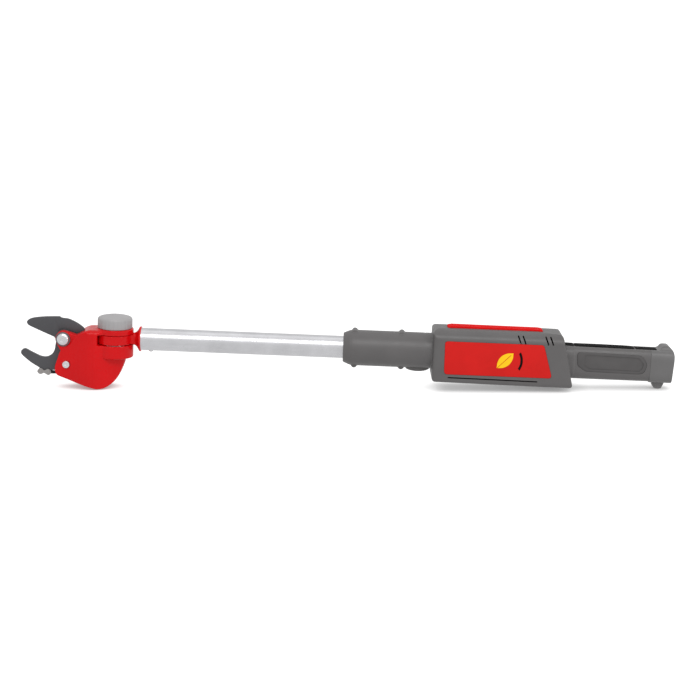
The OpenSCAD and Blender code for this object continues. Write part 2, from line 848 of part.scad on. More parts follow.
module end_cap() {
  color([0.48, 0.47, 0.47]) {
    difference() {
      intersection() {
        side([-40, 40]) end_outline();
        section([400, 450]) end_section();
      }
      intersection() {
        side([-40, 40]) translate([-3.2, 0]) offset(delta = -shell_wall) end_outline();
        section([400, 450]) round_rect([-16, grip_foot_z + 3], [16, 13.6], 10);
      }
    }
    difference() {
      side([-6, 6]) polygon([[408.7, -28], [413.4, -38.4], [422.6, -38.4], [426.4, -28]]);
      rod_x([400, 440], 2.5, [0, -33.9]);
    }
  }
}

// Guide bushes for the tube, held in the collar's bore
module bush(x) {
  color(black) difference() {
    rod_x(x, handle_bore_r);
    rod_x([x[0] - 1, x[1] + 1], tube_r + run_gap);
  }
}

module bush_front() {
  bush([collar_front_x + 1.5, 20]);
}

module bush_rear() {
  bush([48, 73]);
}

cell_r = 9.1;
cell_seats = [for (x = [127.5, 195.5]) for (y = [-18, 18]) [x, y]];
cell_z = -22.2;
strap_x = [126.9, 193.75, 260.6];

// Nickel straps across the cells' ends, grown by the clearance of their slots in the tray
module strap_boxes(room = 0) {
  for (x = strap_x)
    box([x - room, -24 - room, cell_z - 2 - room], [x + 0.5 + room, 24 + room, cell_z + 2 + room]);
}

module battery_cells() {
  color([0.15, 0.45, 0.6]) for (at = cell_seats)
    rod_x([at[0], at[0] + 65], cell_r, [at[1], cell_z]);
}

module cell_tray() {
  color(black) difference() {
    intersection() {
      box([126, -28, -32.4], [262, 28, -16.4]);
      section([100, 310]) wedge_section(shell_wall + 0.4);
    }
    for (at = cell_seats) rod_x([at[0] - 0.6, at[0] + 65.6], cell_r + 0.1, [at[1], cell_z]);
    rod_x([100, 300], handle_bore_r + 0.2);
    strap_boxes(0.05);
  }
}

module cell_straps() {
  color(steel) strap_boxes();
}

module control_board() {
  color([0.05, 0.35, 0.2]) {
    box([133, -19, 19.8], [212, 19, 21.4]);
    for (x = [140, 156, 172]) box([x, -12, 21.3], [x + 10, -1, 24.5]);
    for (x = [145, 190]) translate([x, 10, 21.3]) cylinder(h = 8, r = 4);
  }
}

module charge_socket() {
  color(black) difference() {
    union() {
      rod_x([264, 284.4], 4.4, [0, socket_z]);
      box([264, -6, 19.2], [270, 6, 29.2]);
    }
    rod_x([269, 290], 2.8, [0, socket_z]);
  }
  color(steel) rod_x([267, 282.5], 0.9, [0, socket_z]);
}

// ---- trigger and lock ----

module trigger_paddle() {
  color([0.4, 0.39, 0.38]) difference() {
    union() {
      intersection() {
        side([-trigger_half_w, trigger_half_w])
          polygon([[trigger_x[0], 15.4], [trigger_x[0] + 1, 17], [308, 17.5], [338, 17.2], [370, 16.8],
                   [380, 16.4], [trigger_x[1], 15.4], [trigger_x[1], 13.4], [312, 13.8],
                   [trigger_pin_at[0] + knuckle_r, trigger_pin_at[1]],
                   [trigger_pin_at[0] - knuckle_r, trigger_pin_at[1]]]);
        section([300, 390]) round_rect([-grip_half_w, -20], [grip_half_w, 17.6], grip_r + 0.5);
      }
      rod_y(trigger_pin_at, knuckle_r, [-trigger_half_w, trigger_half_w]);
      box([369, -3, 11.2], [373, 3, 14]);
    }
    rod_y(trigger_pin_at, 1.55, [-20, 20]);
  }
}

module trigger_pin() {
  color(steel) rod_y(trigger_pin_at, 1.5, [-12.4, 12.4]);
}

module trigger_spring() {
  color(steel) translate([350, 0, 3.2]) difference() {
    cylinder(h = 10.3, r = 3.6);
    translate([0, 0, -1]) cylinder(h = 13, r = 2.6);
  }
}

module trigger_switch() {
  color(black) {
    box([362, -3.2, -3.4], [382, 3.2, 6.2]);
    box([345, -6, 0.8], [362, 6, 3.2]);
    box([369.6, -1, 6.1], [372.4, 1, 7.4]);
    for (y = [[-15.4, -6], [6, 15.4]]) box([352, y[0], 0.8], [358, y[1], 3.2]);
  }
}

module lock_lever() {
  color([0.4, 0.39, 0.38]) side([-lock_half_w, lock_half_w]) difference() {
    polygon([[lock_x[0], -22.9], [79, -24.9], [83, -26.5], [88, -27.4], [94, -27.7], [100, -27.2],
             [105, -26], [lock_x[1], -24], [lock_x[1], -19.6], [104, -18.3], [92, -18.3], [92, -20.1],
             [78.4, -20.1]]);
    translate(lock_pin_at) circle(1.3);
  }
}

module lock_shoe() {
  color(black) difference() {
    box([79.5, -lock_half_w, -20.1], [91.2, lock_half_w, -12]);
    rod_x([70, 100], tube_r + 0.15);
  }
}

module lock_pin() {
  color(steel) rod_y(lock_pin_at, 1.25, [-9.5, 9.5]);
}

/* [Hidden] */

// Lifts a sub-part from the tube's axis to its place above the base
module place() {
  translate([0, 0, axis_z]) children();
}

place() shell_left();
place() shell_right();
place() shell_screws();
place() top_strip();
place() side_panel_left();
place() side_panel_right();
place() side_mark_left();
place() side_mark_right();
place() grip_pad_left();
place() grip_pad_right();
place() end_cap();
place() bush_front();
place() bush_rear();
place() battery_cells();
place() cell_tray();
place() cell_straps();
place() control_board();
place() charge_socket();
place() trigger_switch();
place() trigger_pin();
place() lock_pin();
place() trigger_paddle();
place() trigger_spring();
place() lock_lever();
place() lock_shoe();
place() tube();
place() tail_plug();
place() coil_lead();
place() neck();
place() swivel_washers();
place() snap_button();
place() snap_spring();
place() head_casting();
place() head_cover();
place() cover_screws();
place() jaw();
place() jaw_screw();
place() heel_link();
place() link_stay();
place() blade();
place() pivot_bolt();
place() pivot_washer();
place() pivot_nut();
place() drive_shaft();
place() drive_pinion();
place() reduction_gear();
place() motor_pinion();
place() motor_shaft();
place() motor();
place() knob();
place() clamp_bolt();
place() knob_washer();
place() clamp_nut();
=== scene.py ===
import json
import math

import bmesh
import bpy
from mathutils import Matrix, Vector


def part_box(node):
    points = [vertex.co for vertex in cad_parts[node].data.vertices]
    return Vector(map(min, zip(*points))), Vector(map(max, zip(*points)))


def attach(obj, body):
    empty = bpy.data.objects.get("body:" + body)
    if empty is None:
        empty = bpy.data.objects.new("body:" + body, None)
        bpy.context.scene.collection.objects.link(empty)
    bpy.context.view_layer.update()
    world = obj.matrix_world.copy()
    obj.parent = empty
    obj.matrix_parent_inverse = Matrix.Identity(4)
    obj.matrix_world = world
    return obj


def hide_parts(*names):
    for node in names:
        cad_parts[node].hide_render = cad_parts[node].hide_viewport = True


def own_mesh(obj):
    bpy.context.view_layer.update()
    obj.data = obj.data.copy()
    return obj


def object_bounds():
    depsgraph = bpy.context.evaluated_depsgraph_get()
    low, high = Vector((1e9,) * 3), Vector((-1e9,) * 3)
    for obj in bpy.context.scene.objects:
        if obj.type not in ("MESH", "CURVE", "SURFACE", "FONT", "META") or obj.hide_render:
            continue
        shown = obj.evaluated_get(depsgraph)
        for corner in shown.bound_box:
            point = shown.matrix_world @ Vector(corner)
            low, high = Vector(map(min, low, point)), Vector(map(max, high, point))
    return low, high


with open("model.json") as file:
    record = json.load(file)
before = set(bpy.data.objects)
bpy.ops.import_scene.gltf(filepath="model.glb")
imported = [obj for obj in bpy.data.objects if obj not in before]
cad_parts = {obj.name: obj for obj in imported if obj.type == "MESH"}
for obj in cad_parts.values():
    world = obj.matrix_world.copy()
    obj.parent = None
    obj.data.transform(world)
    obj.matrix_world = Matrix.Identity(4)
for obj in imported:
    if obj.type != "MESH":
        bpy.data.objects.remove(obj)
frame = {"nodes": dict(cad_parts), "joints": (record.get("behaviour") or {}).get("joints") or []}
cad_low, cad_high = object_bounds()

# Side outlines below are written in millimetres: x along the tube as in the frame, and height above or
# below the tube's axis.
MM = 0.001
JOINTS = {joint["name"]: joint for joint in frame["joints"]}
SWIVEL = Vector(JOINTS["head_swivel"]["pos_m"])
AXIS_Z = SWIVEL.z


def joint_at(name):
    """Place of a joint as (x, height) in the outlines' millimetres."""
    x, _, z = JOINTS[name]["pos_m"]
    return x / MM, (z - AXIS_Z) / MM


def span(node):
    """Lowest and highest corner of a CAD node, in the outlines' millimetres."""
    low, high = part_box(node)
    lift = Vector((0, 0, AXIS_Z))
    return (low - lift) / MM, (high - lift) / MM


WALL = 3.0
KNOB_X = SWIVEL.x / MM
PIVOT = joint_at("blade_close")
SHAFT = joint_at("drive_turn")
MOTOR = joint_at("rotor_turn")
TRIGGER = joint_at("trigger_press")
LOCK = joint_at("lock_release")

# ---------------------------------------------------------------- outlines


def rounded(corners, steps=7):
    """Closed outline through (x, y, radius) corners, each one rounded off with its radius."""
    points = []
    count = len(corners)
    for i, (x, y, radius) in enumerate(corners):
        here = Vector((x, y))
        before = Vector(corners[i - 1][:2]) - here
        after = Vector(corners[(i + 1) % count][:2]) - here
        if radius <= 0:
            points.append(here)
            continue
        half = before.angle(after) / 2
        reach = min(radius / math.tan(half), before.length * 0.48, after.length * 0.48)
        start = here + before.normalized() * reach
        end = here + after.normalized() * reach
        for k in range(steps + 1):
            t = k / steps
            points.append(start * (1 - t) ** 2 + here * 2 * t * (1 - t) + end * t ** 2)
    return points


def smooth(points, sharp=(), steps=5):
    """Closed curve through the points. Corners numbered in sharp stay sharp."""
    ring = [Vector(p) for p in points]
    count = len(ring)
    curve = []
    for i, here in enumerate(ring):
        there = ring[(i + 1) % count]
        length = (there - here).length
        leave = (there - here) if i in sharp else (there - ring[i - 1])
        arrive = (there - here) if (i + 1) % count in sharp else (ring[(i + 2) % count] - here)
        leave = leave.normalized() * length
        arrive = arrive.normalized() * length
        for k in range(steps):
            t = k / steps
            curve.append(
                here * (2 * t ** 3 - 3 * t ** 2 + 1)
                + leave * (t ** 3 - 2 * t ** 2 + t)
                + there * (3 * t ** 2 - 2 * t ** 3)
                + arrive * (t ** 3 - t ** 2)
            )
    return curve


def ring(centre, radius, steps=48, start=0.0, turn=360.0):
    """Points round a circle, or round part of it."""
    whole = turn >= 360.0
    return [
        Vector(centre)
        + radius * Vector((math.cos(math.radians(start + turn * k / (steps if whole else steps - 1))),
                           math.sin(math.radians(start + turn * k / (steps if whole else steps - 1)))))
        for k in range(steps)
    ]


def stadium(a, b, radius, steps=10):
    """Round-ended slot outline from a to b."""
    a, b = Vector(a), Vector(b)
    heading = math.degrees(math.atan2(b.y - a.y, b.x - a.x))
    return ring(b, radius, steps, heading - 90, 180) + ring(a, radius, steps, heading + 90, 180)


def box_outline(low, high, radius):
    """Rectangle with four rounded corners."""
    (x0, y0), (x1, y1) = low, high
    return rounded([(x0, y0, radius), (x1, y0, radius), (x1, y1, radius), (x0, y1, radius)])


# ---------------------------------------------------------------- meshes


def new_object(name, vertices, faces):
    """Mesh object with its faces turned outward, vertices in outline millimetres."""
    mesh = bpy.data.meshes.new(name)
    mesh.from_pydata([(x * MM, y * MM, AXIS_Z + z * MM) for x, y, z in vertices], [], faces)
    work = bmesh.new()
    work.from_mesh(mesh)
    bmesh.ops.remove_doubles(work, verts=work.verts, dist=1e-7)
    bmesh.ops.recalc_face_normals(work, faces=work.faces)
    work.to_mesh(mesh)
    work.free()
    obj = bpy.data.objects.new(name, mesh)
    bpy.context.scene.collection.objects.link(obj)
    return obj


PLACES = {
    "x": lambda u, v, depth: (depth, u, v),
    "y": lambda u, v, depth: (u, depth, v),
    "z": lambda u, v, depth: (u, v, depth),
}


def plate(name, outline, along, low, high):
    """Outline given thickness along an axis, from low to high."""
    place = PLACES[along]
    count = len(outline)
    vertices = [place(u, v, low) for u, v in outline] + [place(u, v, high) for u, v in outline]
    faces = [list(range(count)), list(range(2 * count - 1, count - 1, -1))]
    faces += [[k, (k + 1) % count, count + (k + 1) % count, count + k] for k in range(count)]
    return new_object(name, vertices, faces)


def turned(name, profile, along, centre, steps=96, wave=None):
    """Closed (radius, height) profile turned about an axis. wave scales the radius at an angle."""
    place = PLACES[along]
    cu, cv = centre
    count = len(profile)
    vertices = []
    for k in range(steps):
        angle = math.tau * k / steps
        for radius, height in profile:
            r = radius if wave is None else wave(radius, height, angle)
            vertices.append(place(cu + r * math.cos(angle), cv + r * math.sin(angle), height))
    faces = [
        [k * count + i, k * count + (i + 1) % count,
         ((k + 1) % steps) * count + (i + 1) % count, ((k + 1) % steps) * count + i]
        for k in range(steps) for i in range(count)
    ]
    obj = new_object(name, vertices, faces)
    work = bmesh.new()
    work.from_mesh(obj.data)
    bmesh.ops.dissolve_degenerate(work, edges=work.edges, dist=1e-7)
    bmesh.ops.recalc_face_normals(work, faces=work.faces)
    work.to_mesh(obj.data)
    work.free()
    return obj


def rod(name, along, centre, radius, low, high, edge=0.0, steps=64):
    """Solid round bar with slightly rounded ends."""
    e = max(edge, 0.001)
    profile = [(0, low), (radius - e, low), (radius - e * 0.3, low + e * 0.3), (radius, low + e),
               (radius, high - e), (radius - e * 0.3, high - e * 0.3), (radius - e, high), (0, high)]
    return turned(name, profile, along, centre, steps)


def settle(obj):
    """Applies every modifier."""
    bpy.context.view_layer.update()
    graph = bpy.context.evaluated_depsgraph_get()
    mesh = bpy.data.meshes.new_from_object(obj.evaluated_get(graph))
    obj.modifiers.clear()
    old = obj.data
    obj.data = mesh
    bpy.data.meshes.remove(old)
    return obj


def combine(obj, others, how):
    """Boolean of obj with the others, which are used up."""
    for other in others:
        step = obj.modifiers.new("cut", "BOOLEAN")
        step.operation = how
        step.solver = "MANIFOLD"
        step.object = other
    settle(obj)
    for other in others:
        mesh = other.data
        bpy.data.objects.remove(other)
        bpy.data.meshes.remove(mesh)
    return obj


def cut(obj, *others):
    return combine(obj, others, "DIFFERENCE")


def join(obj, *others):
    return combine(obj, others, "UNION")


def common(obj, *others):
    return combine(obj, others, "INTERSECT")


def copy_of(obj):
    """Separate copy of an object and its mesh."""
    twin = bpy.data.objects.new(obj.name + "_copy", obj.data.copy())
    bpy.context.scene.collection.objects.link(twin)
    return twin


def soften(obj, voxel, passes):
    """Rebuilds a solid from small cells and relaxes it, which rounds its edges like a casting's."""
    remesh = obj.modifiers.new("cells", "REMESH")
    remesh.mode = "VOXEL"
    remesh.voxel_size = voxel * MM
    relax = obj.modifiers.new("relax", "SMOOTH")
    relax.factor = 0.5
    relax.iterations = passes
    return settle(obj)


def break_edges(obj, width, angle=30.0, segments=3):
    """Small rounded edges wherever two faces meet at more than the angle."""
    bevel = obj.modifiers.new("edges", "BEVEL")
    bevel.width = width * MM
    bevel.segments = segments
    bevel.limit_method = "ANGLE"
    bevel.angle_limit = math.radians(angle)
    bevel.use_clamp_overlap = True
    return settle(obj)


def shade(obj, angle=32.0):
    """Smooth shading that keeps edges sharper than the angle."""
    obj.data.polygons.foreach_set("use_smooth", [True] * len(obj.data.polygons))
    obj.data.set_sharp_from_angle(angle=math.radians(angle))
    return obj


def place_piece(obj, name, body, look, slot_name, *nodes, angle=32.0):
    """Names a finished piece, gives it its shading, look and body, and hides the CAD nodes it stands for."""
    obj.name = name
    obj.data.name = name
    shade(obj, angle)
    if look is not None:
        obj.data.materials.clear()
        obj.data.materials.append(look)
    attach(obj, body)
    if nodes:
        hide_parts(*nodes)
    return obj


# ---------------------------------------------------------------- materials


def linear(red, green, blue):
    """Colour from 0 to 255 screen values to the renderer's linear values."""
    def one(value):
        value /= 255
        return value / 12.92 if value <= 0.04045 else ((value + 0.055) / 1.055) ** 2.4
    return one(red), one(green), one(blue), 1.0


class Look:
    """Builds one node material on the object's own coordinates."""

    def __init__(self, name):
        self.material = bpy.data.materials.new(name)
        self.material.use_nodes = True
        self.nodes = self.material.node_tree.nodes
        self.links = self.material.node_tree.links
        self.shader = self.nodes["Principled BSDF"]
        self.coords = self.nodes.new("ShaderNodeTexCoord").outputs["Object"]

    def stretched(self, scale):
        mapping = self.nodes.new("ShaderNodeMapping")
        mapping.inputs["Scale"].default_value = scale
        self.links.new(self.coords, mapping.inputs["Vector"])
        return mapping.outputs["Vector"]

    def noise(self, scale, detail=4.0, rough=0.55, vector=None):
        node = self.nodes.new("ShaderNodeTexNoise")
        node.inputs["Scale"].default_value = scale
        node.inputs["Detail"].default_value = detail
        node.inputs["Roughness"].default_value = rough
        self.links.new(vector or self.coords, node.inputs["Vector"])
        return node.outputs["Fac"]

    def span(self, value, low, high, start=0.3, end=0.7):
        node = self.nodes.new("ShaderNodeMapRange")
        node.inputs["From Min"].default_value = start
        node.inputs["From Max"].default_value = end
        node.inputs["To Min"].default_value = low
        node.inputs["To Max"].default_value = high
        self.links.new(value, node.inputs["Value"])
        return node.outputs["Result"]

    def times(self, a, b):
        node = self.nodes.new("ShaderNodeMath")
        node.operation = "MULTIPLY"
        self.links.new(a, node.inputs[0])
        self.links.new(b, node.inputs[1])
        return node.outputs[0]

    def mix(self, factor, first, second):
        node = self.nodes.new("ShaderNodeMix")
        node.data_type = "RGBA"
        self.links.new(factor, node.inputs["Factor"])
        for socket, value in ((node.inputs[6], first), (node.inputs[7], second)):
            if isinstance(value, tuple):
                socket.default_value = value
            else:
                self.links.new(value, socket)
        return node.outputs[2]

    def edges(self, start, end):
        """Grows from 0 to 1 on outward edges."""
        pointed = self.nodes.new("ShaderNodeNewGeometry").outputs["Pointiness"]
        return self.span(pointed, 0.0, 1.0, start, end)

    def bump(self, height, strength, distance, after=None):
        node = self.nodes.new("ShaderNodeBump")
        node.inputs["Strength"].default_value = strength
        node.inputs["Distance"].default_value = distance
        self.links.new(height, node.inputs["Height"])
        if after is not None:
            self.links.new(after, node.inputs["Normal"])
        return node.outputs["Normal"]

    def finish(self, colour, roughness, normal=None, **fixed):
        self.links.new(colour, self.shader.inputs["Base Color"])
        self.links.new(roughness, self.shader.inputs["Roughness"])
        if normal is not None:
            self.links.new(normal, self.shader.inputs["Normal"])
        for name, value in fixed.items():
            self.shader.inputs[name.replace("_", " ")].default_value = value
        return self.material


def tinted(colour, factor):
    """The colour made lighter or darker."""
    return tuple(min(1.0, c * factor) for c in colour[:3]) + (1.0,)


def moulded_plastic(name, colour, rough=0.5, grain=0.35, worn=1.35, shine=0.5, ior=1.5):
    """Moulded plastic: fine spark texture, soft blotches, a little polish on the edges."""
    look = Look(name)
    blotch = look.span(look.noise(28, 3), 0.0, 1.0)
    base = look.mix(blotch, tinted(colour, 0.94), tinted(colour, 1.06))
    specks = look.span(look.noise(1900, 2), 0.0, 0.35, 0.5, 0.8)
    base = look.mix(specks, base, tinted(colour, 1.25))
    rubbed = look.times(look.edges(0.515, 0.58), look.span(look.noise(160, 5), 0.0, 0.7, 0.4, 0.7))
    base = look.mix(rubbed, base, tinted(colour, worn))
    roughness = look.span(look.noise(90, 5), rough - 0.06, rough + 0.07)
    normal = look.bump(look.noise(2600, 3), grain, 0.00012)
    return look.finish(base, roughness, normal, Specular_IOR_Level=shine, IOR=ior)


def gloss_coat(name, colour):
    """Powder coat on a casting: orange peel, small chips and paler worn edges."""
    look = Look(name)
    blotch = look.span(look.noise(22, 3), 0.0, 1.0)
    base = look.mix(blotch, tinted(colour, 0.93), tinted(colour, 1.05))
    worn = look.times(look.edges(0.53, 0.62), look.span(look.noise(220, 6), 0.0, 0.55, 0.5, 0.72))
    base = look.mix(worn, base, linear(238, 70, 62))
    roughness = look.span(look.noise(60, 4), 0.24, 0.34)
    peel = look.bump(look.noise(520, 2), 0.1, 0.00025)
    fine = look.bump(look.noise(2400, 2), 0.06, 0.0001, peel)
    return look.finish(base, roughness, fine, Specular_IOR_Level=0.08, Coat_Weight=0.25,
                       Coat_Roughness=0.1)


def bare_metal(name, colour, rough=0.25, scale=(1.0, 1.0, 1.0), lines=900, depth=0.1):
    """Metal with fine lines drawn out by the scale and faint stains."""
    look = Look(name)
    drawn = look.noise(lines, 6, 0.7, look.stretched(scale))
    stain = look.span(look.noise(45, 4), 0.0, 1.0)
    base = look.mix(stain, tinted(colour, 0.9), tinted(colour, 1.05))
    base = look.mix(look.span(drawn, 0.0, 0.3, 0.4, 0.75), base, tinted(colour, 0.72))
    roughness = look.span(drawn, rough - 0.07, rough + 0.1)
    normal = look.bump(drawn, depth, 0.00006)
    return look.finish(base, roughness, normal, Metallic=1.0)


def coated_steel(name, colour):
    """Dark non-stick coat over ground steel: faint grinding lines, rubbed edges."""
    look = Look(name)
    lines = look.noise(700, 5, 0.65, look.stretched((0.25, 1.0, 1.6)))
    blotch = look.span(look.noise(40, 4), 0.0, 1.0)
    base = look.mix(blotch, tinted(colour, 0.95), tinted(colour, 1.05))
    rubbed = look.span(look.noise(420, 6), 0.0, 0.4, 0.62, 0.8)
    base = look.mix(rubbed, base, tinted(colour, 1.5))
    roughness = look.span(lines, 0.4, 0.52)
    normal = look.bump(lines, 0.1, 0.00008)
    return look.finish(base, roughness, normal, Metallic=0.45)


def soft_rubber(name, colour):
    """Soft over-mould: matt, finely pitted, a little dust."""
    look = Look(name)
    dust = look.span(look.noise(70, 5), 0.0, 0.5, 0.45, 0.75)
    base = look.mix(dust, tinted(colour, 0.95), tinted(colour, 1.25))
    roughness = look.span(look.noise(140, 4), 0.62, 0.8)
    normal = look.bump(look.noise(3200, 2), 0.4, 0.00012)
    return look.finish(base, roughness, normal)


GREY = moulded_plastic("grey_housing", linear(90, 88, 88), 0.42)
CAP_GREY = moulded_plastic("grey_cap", linear(98, 97, 97), 0.38)
RED_INLAY = moulded_plastic("red_inlay", linear(202, 30, 27), 0.42, 0.15, 1.1, 0.12)
RED_TOP = moulded_plastic("red_top", linear(214, 24, 24), 0.5, 0.15, 1.1, 0.1, 1.12)
KNOB_GREY = moulded_plastic("knob_grey", linear(160, 158, 159), 0.42, 0.2, 1.15)
BLACK = moulded_plastic("black_plastic", linear(20, 20, 21), 0.5, 0.2, 1.2, 0.3)
TRIGGER_BLACK = moulded_plastic("trigger_black", linear(22, 22, 22), 0.6, 0.3, 1.3, 0.12, 1.2)
YELLOW = moulded_plastic("yellow_print", linear(250, 198, 8), 0.4, 0.1, 1.05, 0.3)
CELL_BLUE = moulded_plastic("cell_wrap", linear(40, 96, 150), 0.3, 0.05)
BOARD_GREEN = moulded_plastic("board_green", linear(20, 82, 48), 0.35, 0.1)
RED_COAT = gloss_coat("red_coat", linear(207, 9, 15))
RUBBER = soft_rubber("pad_rubber", linear(80, 78, 78))
COATED = coated_steel("coated_steel", linear(82, 82, 85))
ZINC = bare_metal("zinc_plate", linear(228, 227, 229), 0.24, (1.0, 1.0, 1.0), 500, 0.06)
LINK_STEEL = bare_metal("link_steel", linear(168, 164, 162), 0.3, (1.0, 1.0, 1.0), 500, 0.08)
WASHER_GREY = bare_metal("washer_grey", linear(112, 112, 115), 0.36, (1.0, 1.0, 1.0), 500, 0.06)
TUBE_METAL = bare_metal("anodised_tube", linear(218, 218, 221), 0.3, (0.04, 1.0, 1.0), 900, 0.05)
SINTERED = bare_metal("sintered_steel", linear(140, 136, 128), 0.42, (1.0, 1.0, 1.0), 1200, 0.2)
BRASS = bare_metal("brass", linear(206, 170, 96), 0.28, (1.0, 1.0, 1.0), 900, 0.08)

CAD_NODE_LOOKS = (
    (ZINC, ("shell_screws", "cell_straps", "trigger_pin", "lock_pin", "swivel_washers", "drive_shaft",
            "motor_shaft", "motor", "clamp_bolt", "knob_washer", "clamp_nut", "cover_screws", "pivot_nut")),
    (BLACK, ("bush_front", "bush_rear", "cell_tray", "charge_socket", "trigger_switch", "tail_plug",
             "coil_lead", "link_stay")),
    (SINTERED, ("drive_pinion", "reduction_gear")),
    (BRASS, ("motor_pinion",)),
    (RUBBER, ("lock_shoe",)),
    (CELL_BLUE, ("battery_cells",)),
    (BOARD_GREEN, ("control_board",)),
)


def dress_cad_nodes():
    """Procedural looks for the CAD nodes that stay as they are."""
    for look, names in CAD_NODE_LOOKS:
        for name in names:
            obj = frame["nodes"][name]
            obj.data.materials.clear()
            obj.data.materials.append(look)


# ---------------------------------------------------------------- tube and neck

TUBE_LOW, TUBE_HIGH = span("tube")
TUBE_R = TUBE_HIGH.z
TUBE_BORE = TUBE_R - 1.5
SNAP_LOW, SNAP_HIGH = span("snap_button")
SNAP_X = (SNAP_LOW.x + SNAP_HIGH.x) / 2
SNAP_WAY_R = 3.05
CLAMP_BOLT_WAY_R = 4.3
EYE_HALF_THICK = 6.5
ARM_HALF_W = 8.5
ORIGIN = (0.0, 0.0)


def build_tube():
    edge = 0.3
    profile = [(TUBE_BORE, TUBE_LOW.x), (TUBE_R - edge, TUBE_LOW.x), (TUBE_R, TUBE_LOW.x + edge),
               (TUBE_R, TUBE_HIGH.x - edge), (TUBE_R - edge, TUBE_HIGH.x), (TUBE_BORE, TUBE_HIGH.x)]
    tube = turned("tube_new", profile, "x", ORIGIN)
    cut(tube, rod("hole", "z", (SNAP_X, 0), SNAP_WAY_R, -TUBE_R - 2, -TUBE_R + 4))
    place_piece(tube, "sliding_tube", "pole", TUBE_METAL, "tube_aluminium", "tube")


def build_snap_button():
    low, high = SNAP_LOW.z, SNAP_HIGH.z
    profile = [(0, low), (1.2, low + 0.1), (2.2, low + 0.5), (2.8, low + 1.2), (3, low + 2), (3, high - 1.2),
               (4, high - 1.2), (4, high), (0, high)]
    button = turned("snap", profile, "z", (SNAP_X, 0), 48)
    place_piece(button, "snap_pin", "snap", ZINC, "zinc_steel", "snap_button")


def build_neck():
    """Swivel eye, arm and flared flange, softened together, then bored."""
    low, high = span("neck")
    eye_r = high.y
    arm_x = KNOB_X + eye_r + 3
    flange_x = TUBE_LOW.x
    eye = rod("eye", "z", (KNOB_X, 0), eye_r, -EYE_HALF_THICK, EYE_HALF_THICK, 0.8, 96)
    profile = [(0, arm_x - 10), (7.6, arm_x - 10), (8.4, arm_x), (9.8, flange_x - 6.4), (12, flange_x - 4.6),
               (15, flange_x - 2.9), (16.8, flange_x - 1.9), (16.9, flange_x + 0.3), (0, flange_x + 0.3)]
    flare = turned("flare", profile, "x", ORIGIN)
    web = plate("web", box_outline((KNOB_X + 14, -ARM_HALF_W), (flange_x - 6, ARM_HALF_W), 1),
                "z", -EYE_HALF_THICK + 0.1, EYE_HALF_THICK - 0.1)
    neck = soften(join(eye, web, flare), 0.6, 5)
    join(neck, rod("spigot", "x", ORIGIN, TUBE_BORE - 0.05, flange_x - 2, high.x, 0.6))
    cut(neck, rod("bolt_way", "z", (KNOB_X, 0), CLAMP_BOLT_WAY_R, -12, 12),
        rod("spigot_bore", "x", ORIGIN, 9, flange_x + 3, high.x + 2),
        rod("pin_way", "z", (SNAP_X, 0), SNAP_WAY_R, -20, -4))
    place_piece(neck, "swivel_neck", "pole", RED_COAT, "red_casting", "neck")


# ---------------------------------------------------------------- gearbox

HEAD_HIGH = span("head_casting")[1]
JAW_LOW, JAW_HIGH = span("jaw")
BLADE_LOW, BLADE_HIGH = span("blade")
EAR_R = HEAD_HIGH.x - KNOB_X
EAR_TOP = 14.0
GAP_LOW, GAP_HIGH = -7.4, 6.8
SPLIT_Y = 5.0
HEAD_HALF_W = 24.5
HEAD_ROOF = 12.9
HEAD_SIDES = (-30, 30)
SWIVEL_ROOM_R = 24.4
SWIVEL_ROOM_DEPTH = 20.7
PIVOT_BORE_R = 5.05
JAW_SCREW = (-376.9, -35.9)
JAW_SCREW_BORE_R = 2.5
COVER_SCREWS = [(-376.5, -50.9), (-352, -55.5), (-318, -52)]
BOWL = (-336, -35.2)


def head_outline():
    """Side outline of the gearbox below and behind the blade's ear, with its round bowl."""
    front = [(-371, -7), (-377, -12.2), (-384, -17.2), (-387, -22.6), (-388.6, -28.4), (-390.6, -34),
             (-392.2, -40.6), (-391.8, -46.4), (-389.4, -50.9)]
    belly = [(-381, -54.1), (-371.2, -57.2), (-360.6, -60.4), (-350, -63.4), (-342, -65.3), (-333.6, -66.8)]
    stern = [(-326, -65.8), (-320.4, -63.2), (-315.2, -59.3), (-310.9, -55), (-306.6, -48.9),
             (-303.4, -41.6), (-300.8, -35), (-298.8, -28.4), (-298.8, -14), (KNOB_X, -9)]
    roof = [(KNOB_X, EAR_TOP - 1.4), (-338, 13), (-343.6, 12.8), (-348.4, 12.2), (-352.8, 10.4),
            (-358.8, 7.2), (-365.4, 3.2)]
    return smooth(front + belly + stern + roof, (0, 23, 24, 25), 4)


def ear_outline():
    """Side outline of the lower-profile ear that carries the pivot bolt."""
    px, pz = PIVOT
    around = [(-10.4, 1.4), (-9, -5.4), (-6.2, -10.4), (-2.6, -15.6), (4, -14), (14, -8), (20, 4),
              (15.4, 6.4), (9.4, 8.4), (4.6, 9.6), (-1, 10.5), (-6.6, 8.2)]
    return smooth([(px + x, pz + z) for x, z in around])


STERN_X = (-337, -313.8)
STERN_R = 15.2


def head_plan(inset=0.0):
    """Plan outline: narrow at the blade, full width at the motor, tapered to a round back."""
    w = HEAD_HALF_W - inset
    front = [(-396, 13.6 - inset), (-374, 17 - inset), (-358, 21.6 - inset), (-346, w - 0.3),
             (STERN_X[0], w)]
    back = ring((STERN_X[1], 0), STERN_R - inset, 15, -64, 128)
    return ([Vector((x, -y)) for x, y in front] + back + [Vector((x, y)) for x, y in reversed(front)])


def head_solid():
    """Gearbox body without its ears."""
    body = plate("head", head_outline(), "y", *HEAD_SIDES)
    roof = tall_section(HEAD_HALF_W, -90, HEAD_ROOF, 2, 9)
    return common(body, plate("plan", head_plan(), "z", -80, 40), plate("roof", roof, "x", -410, -290))


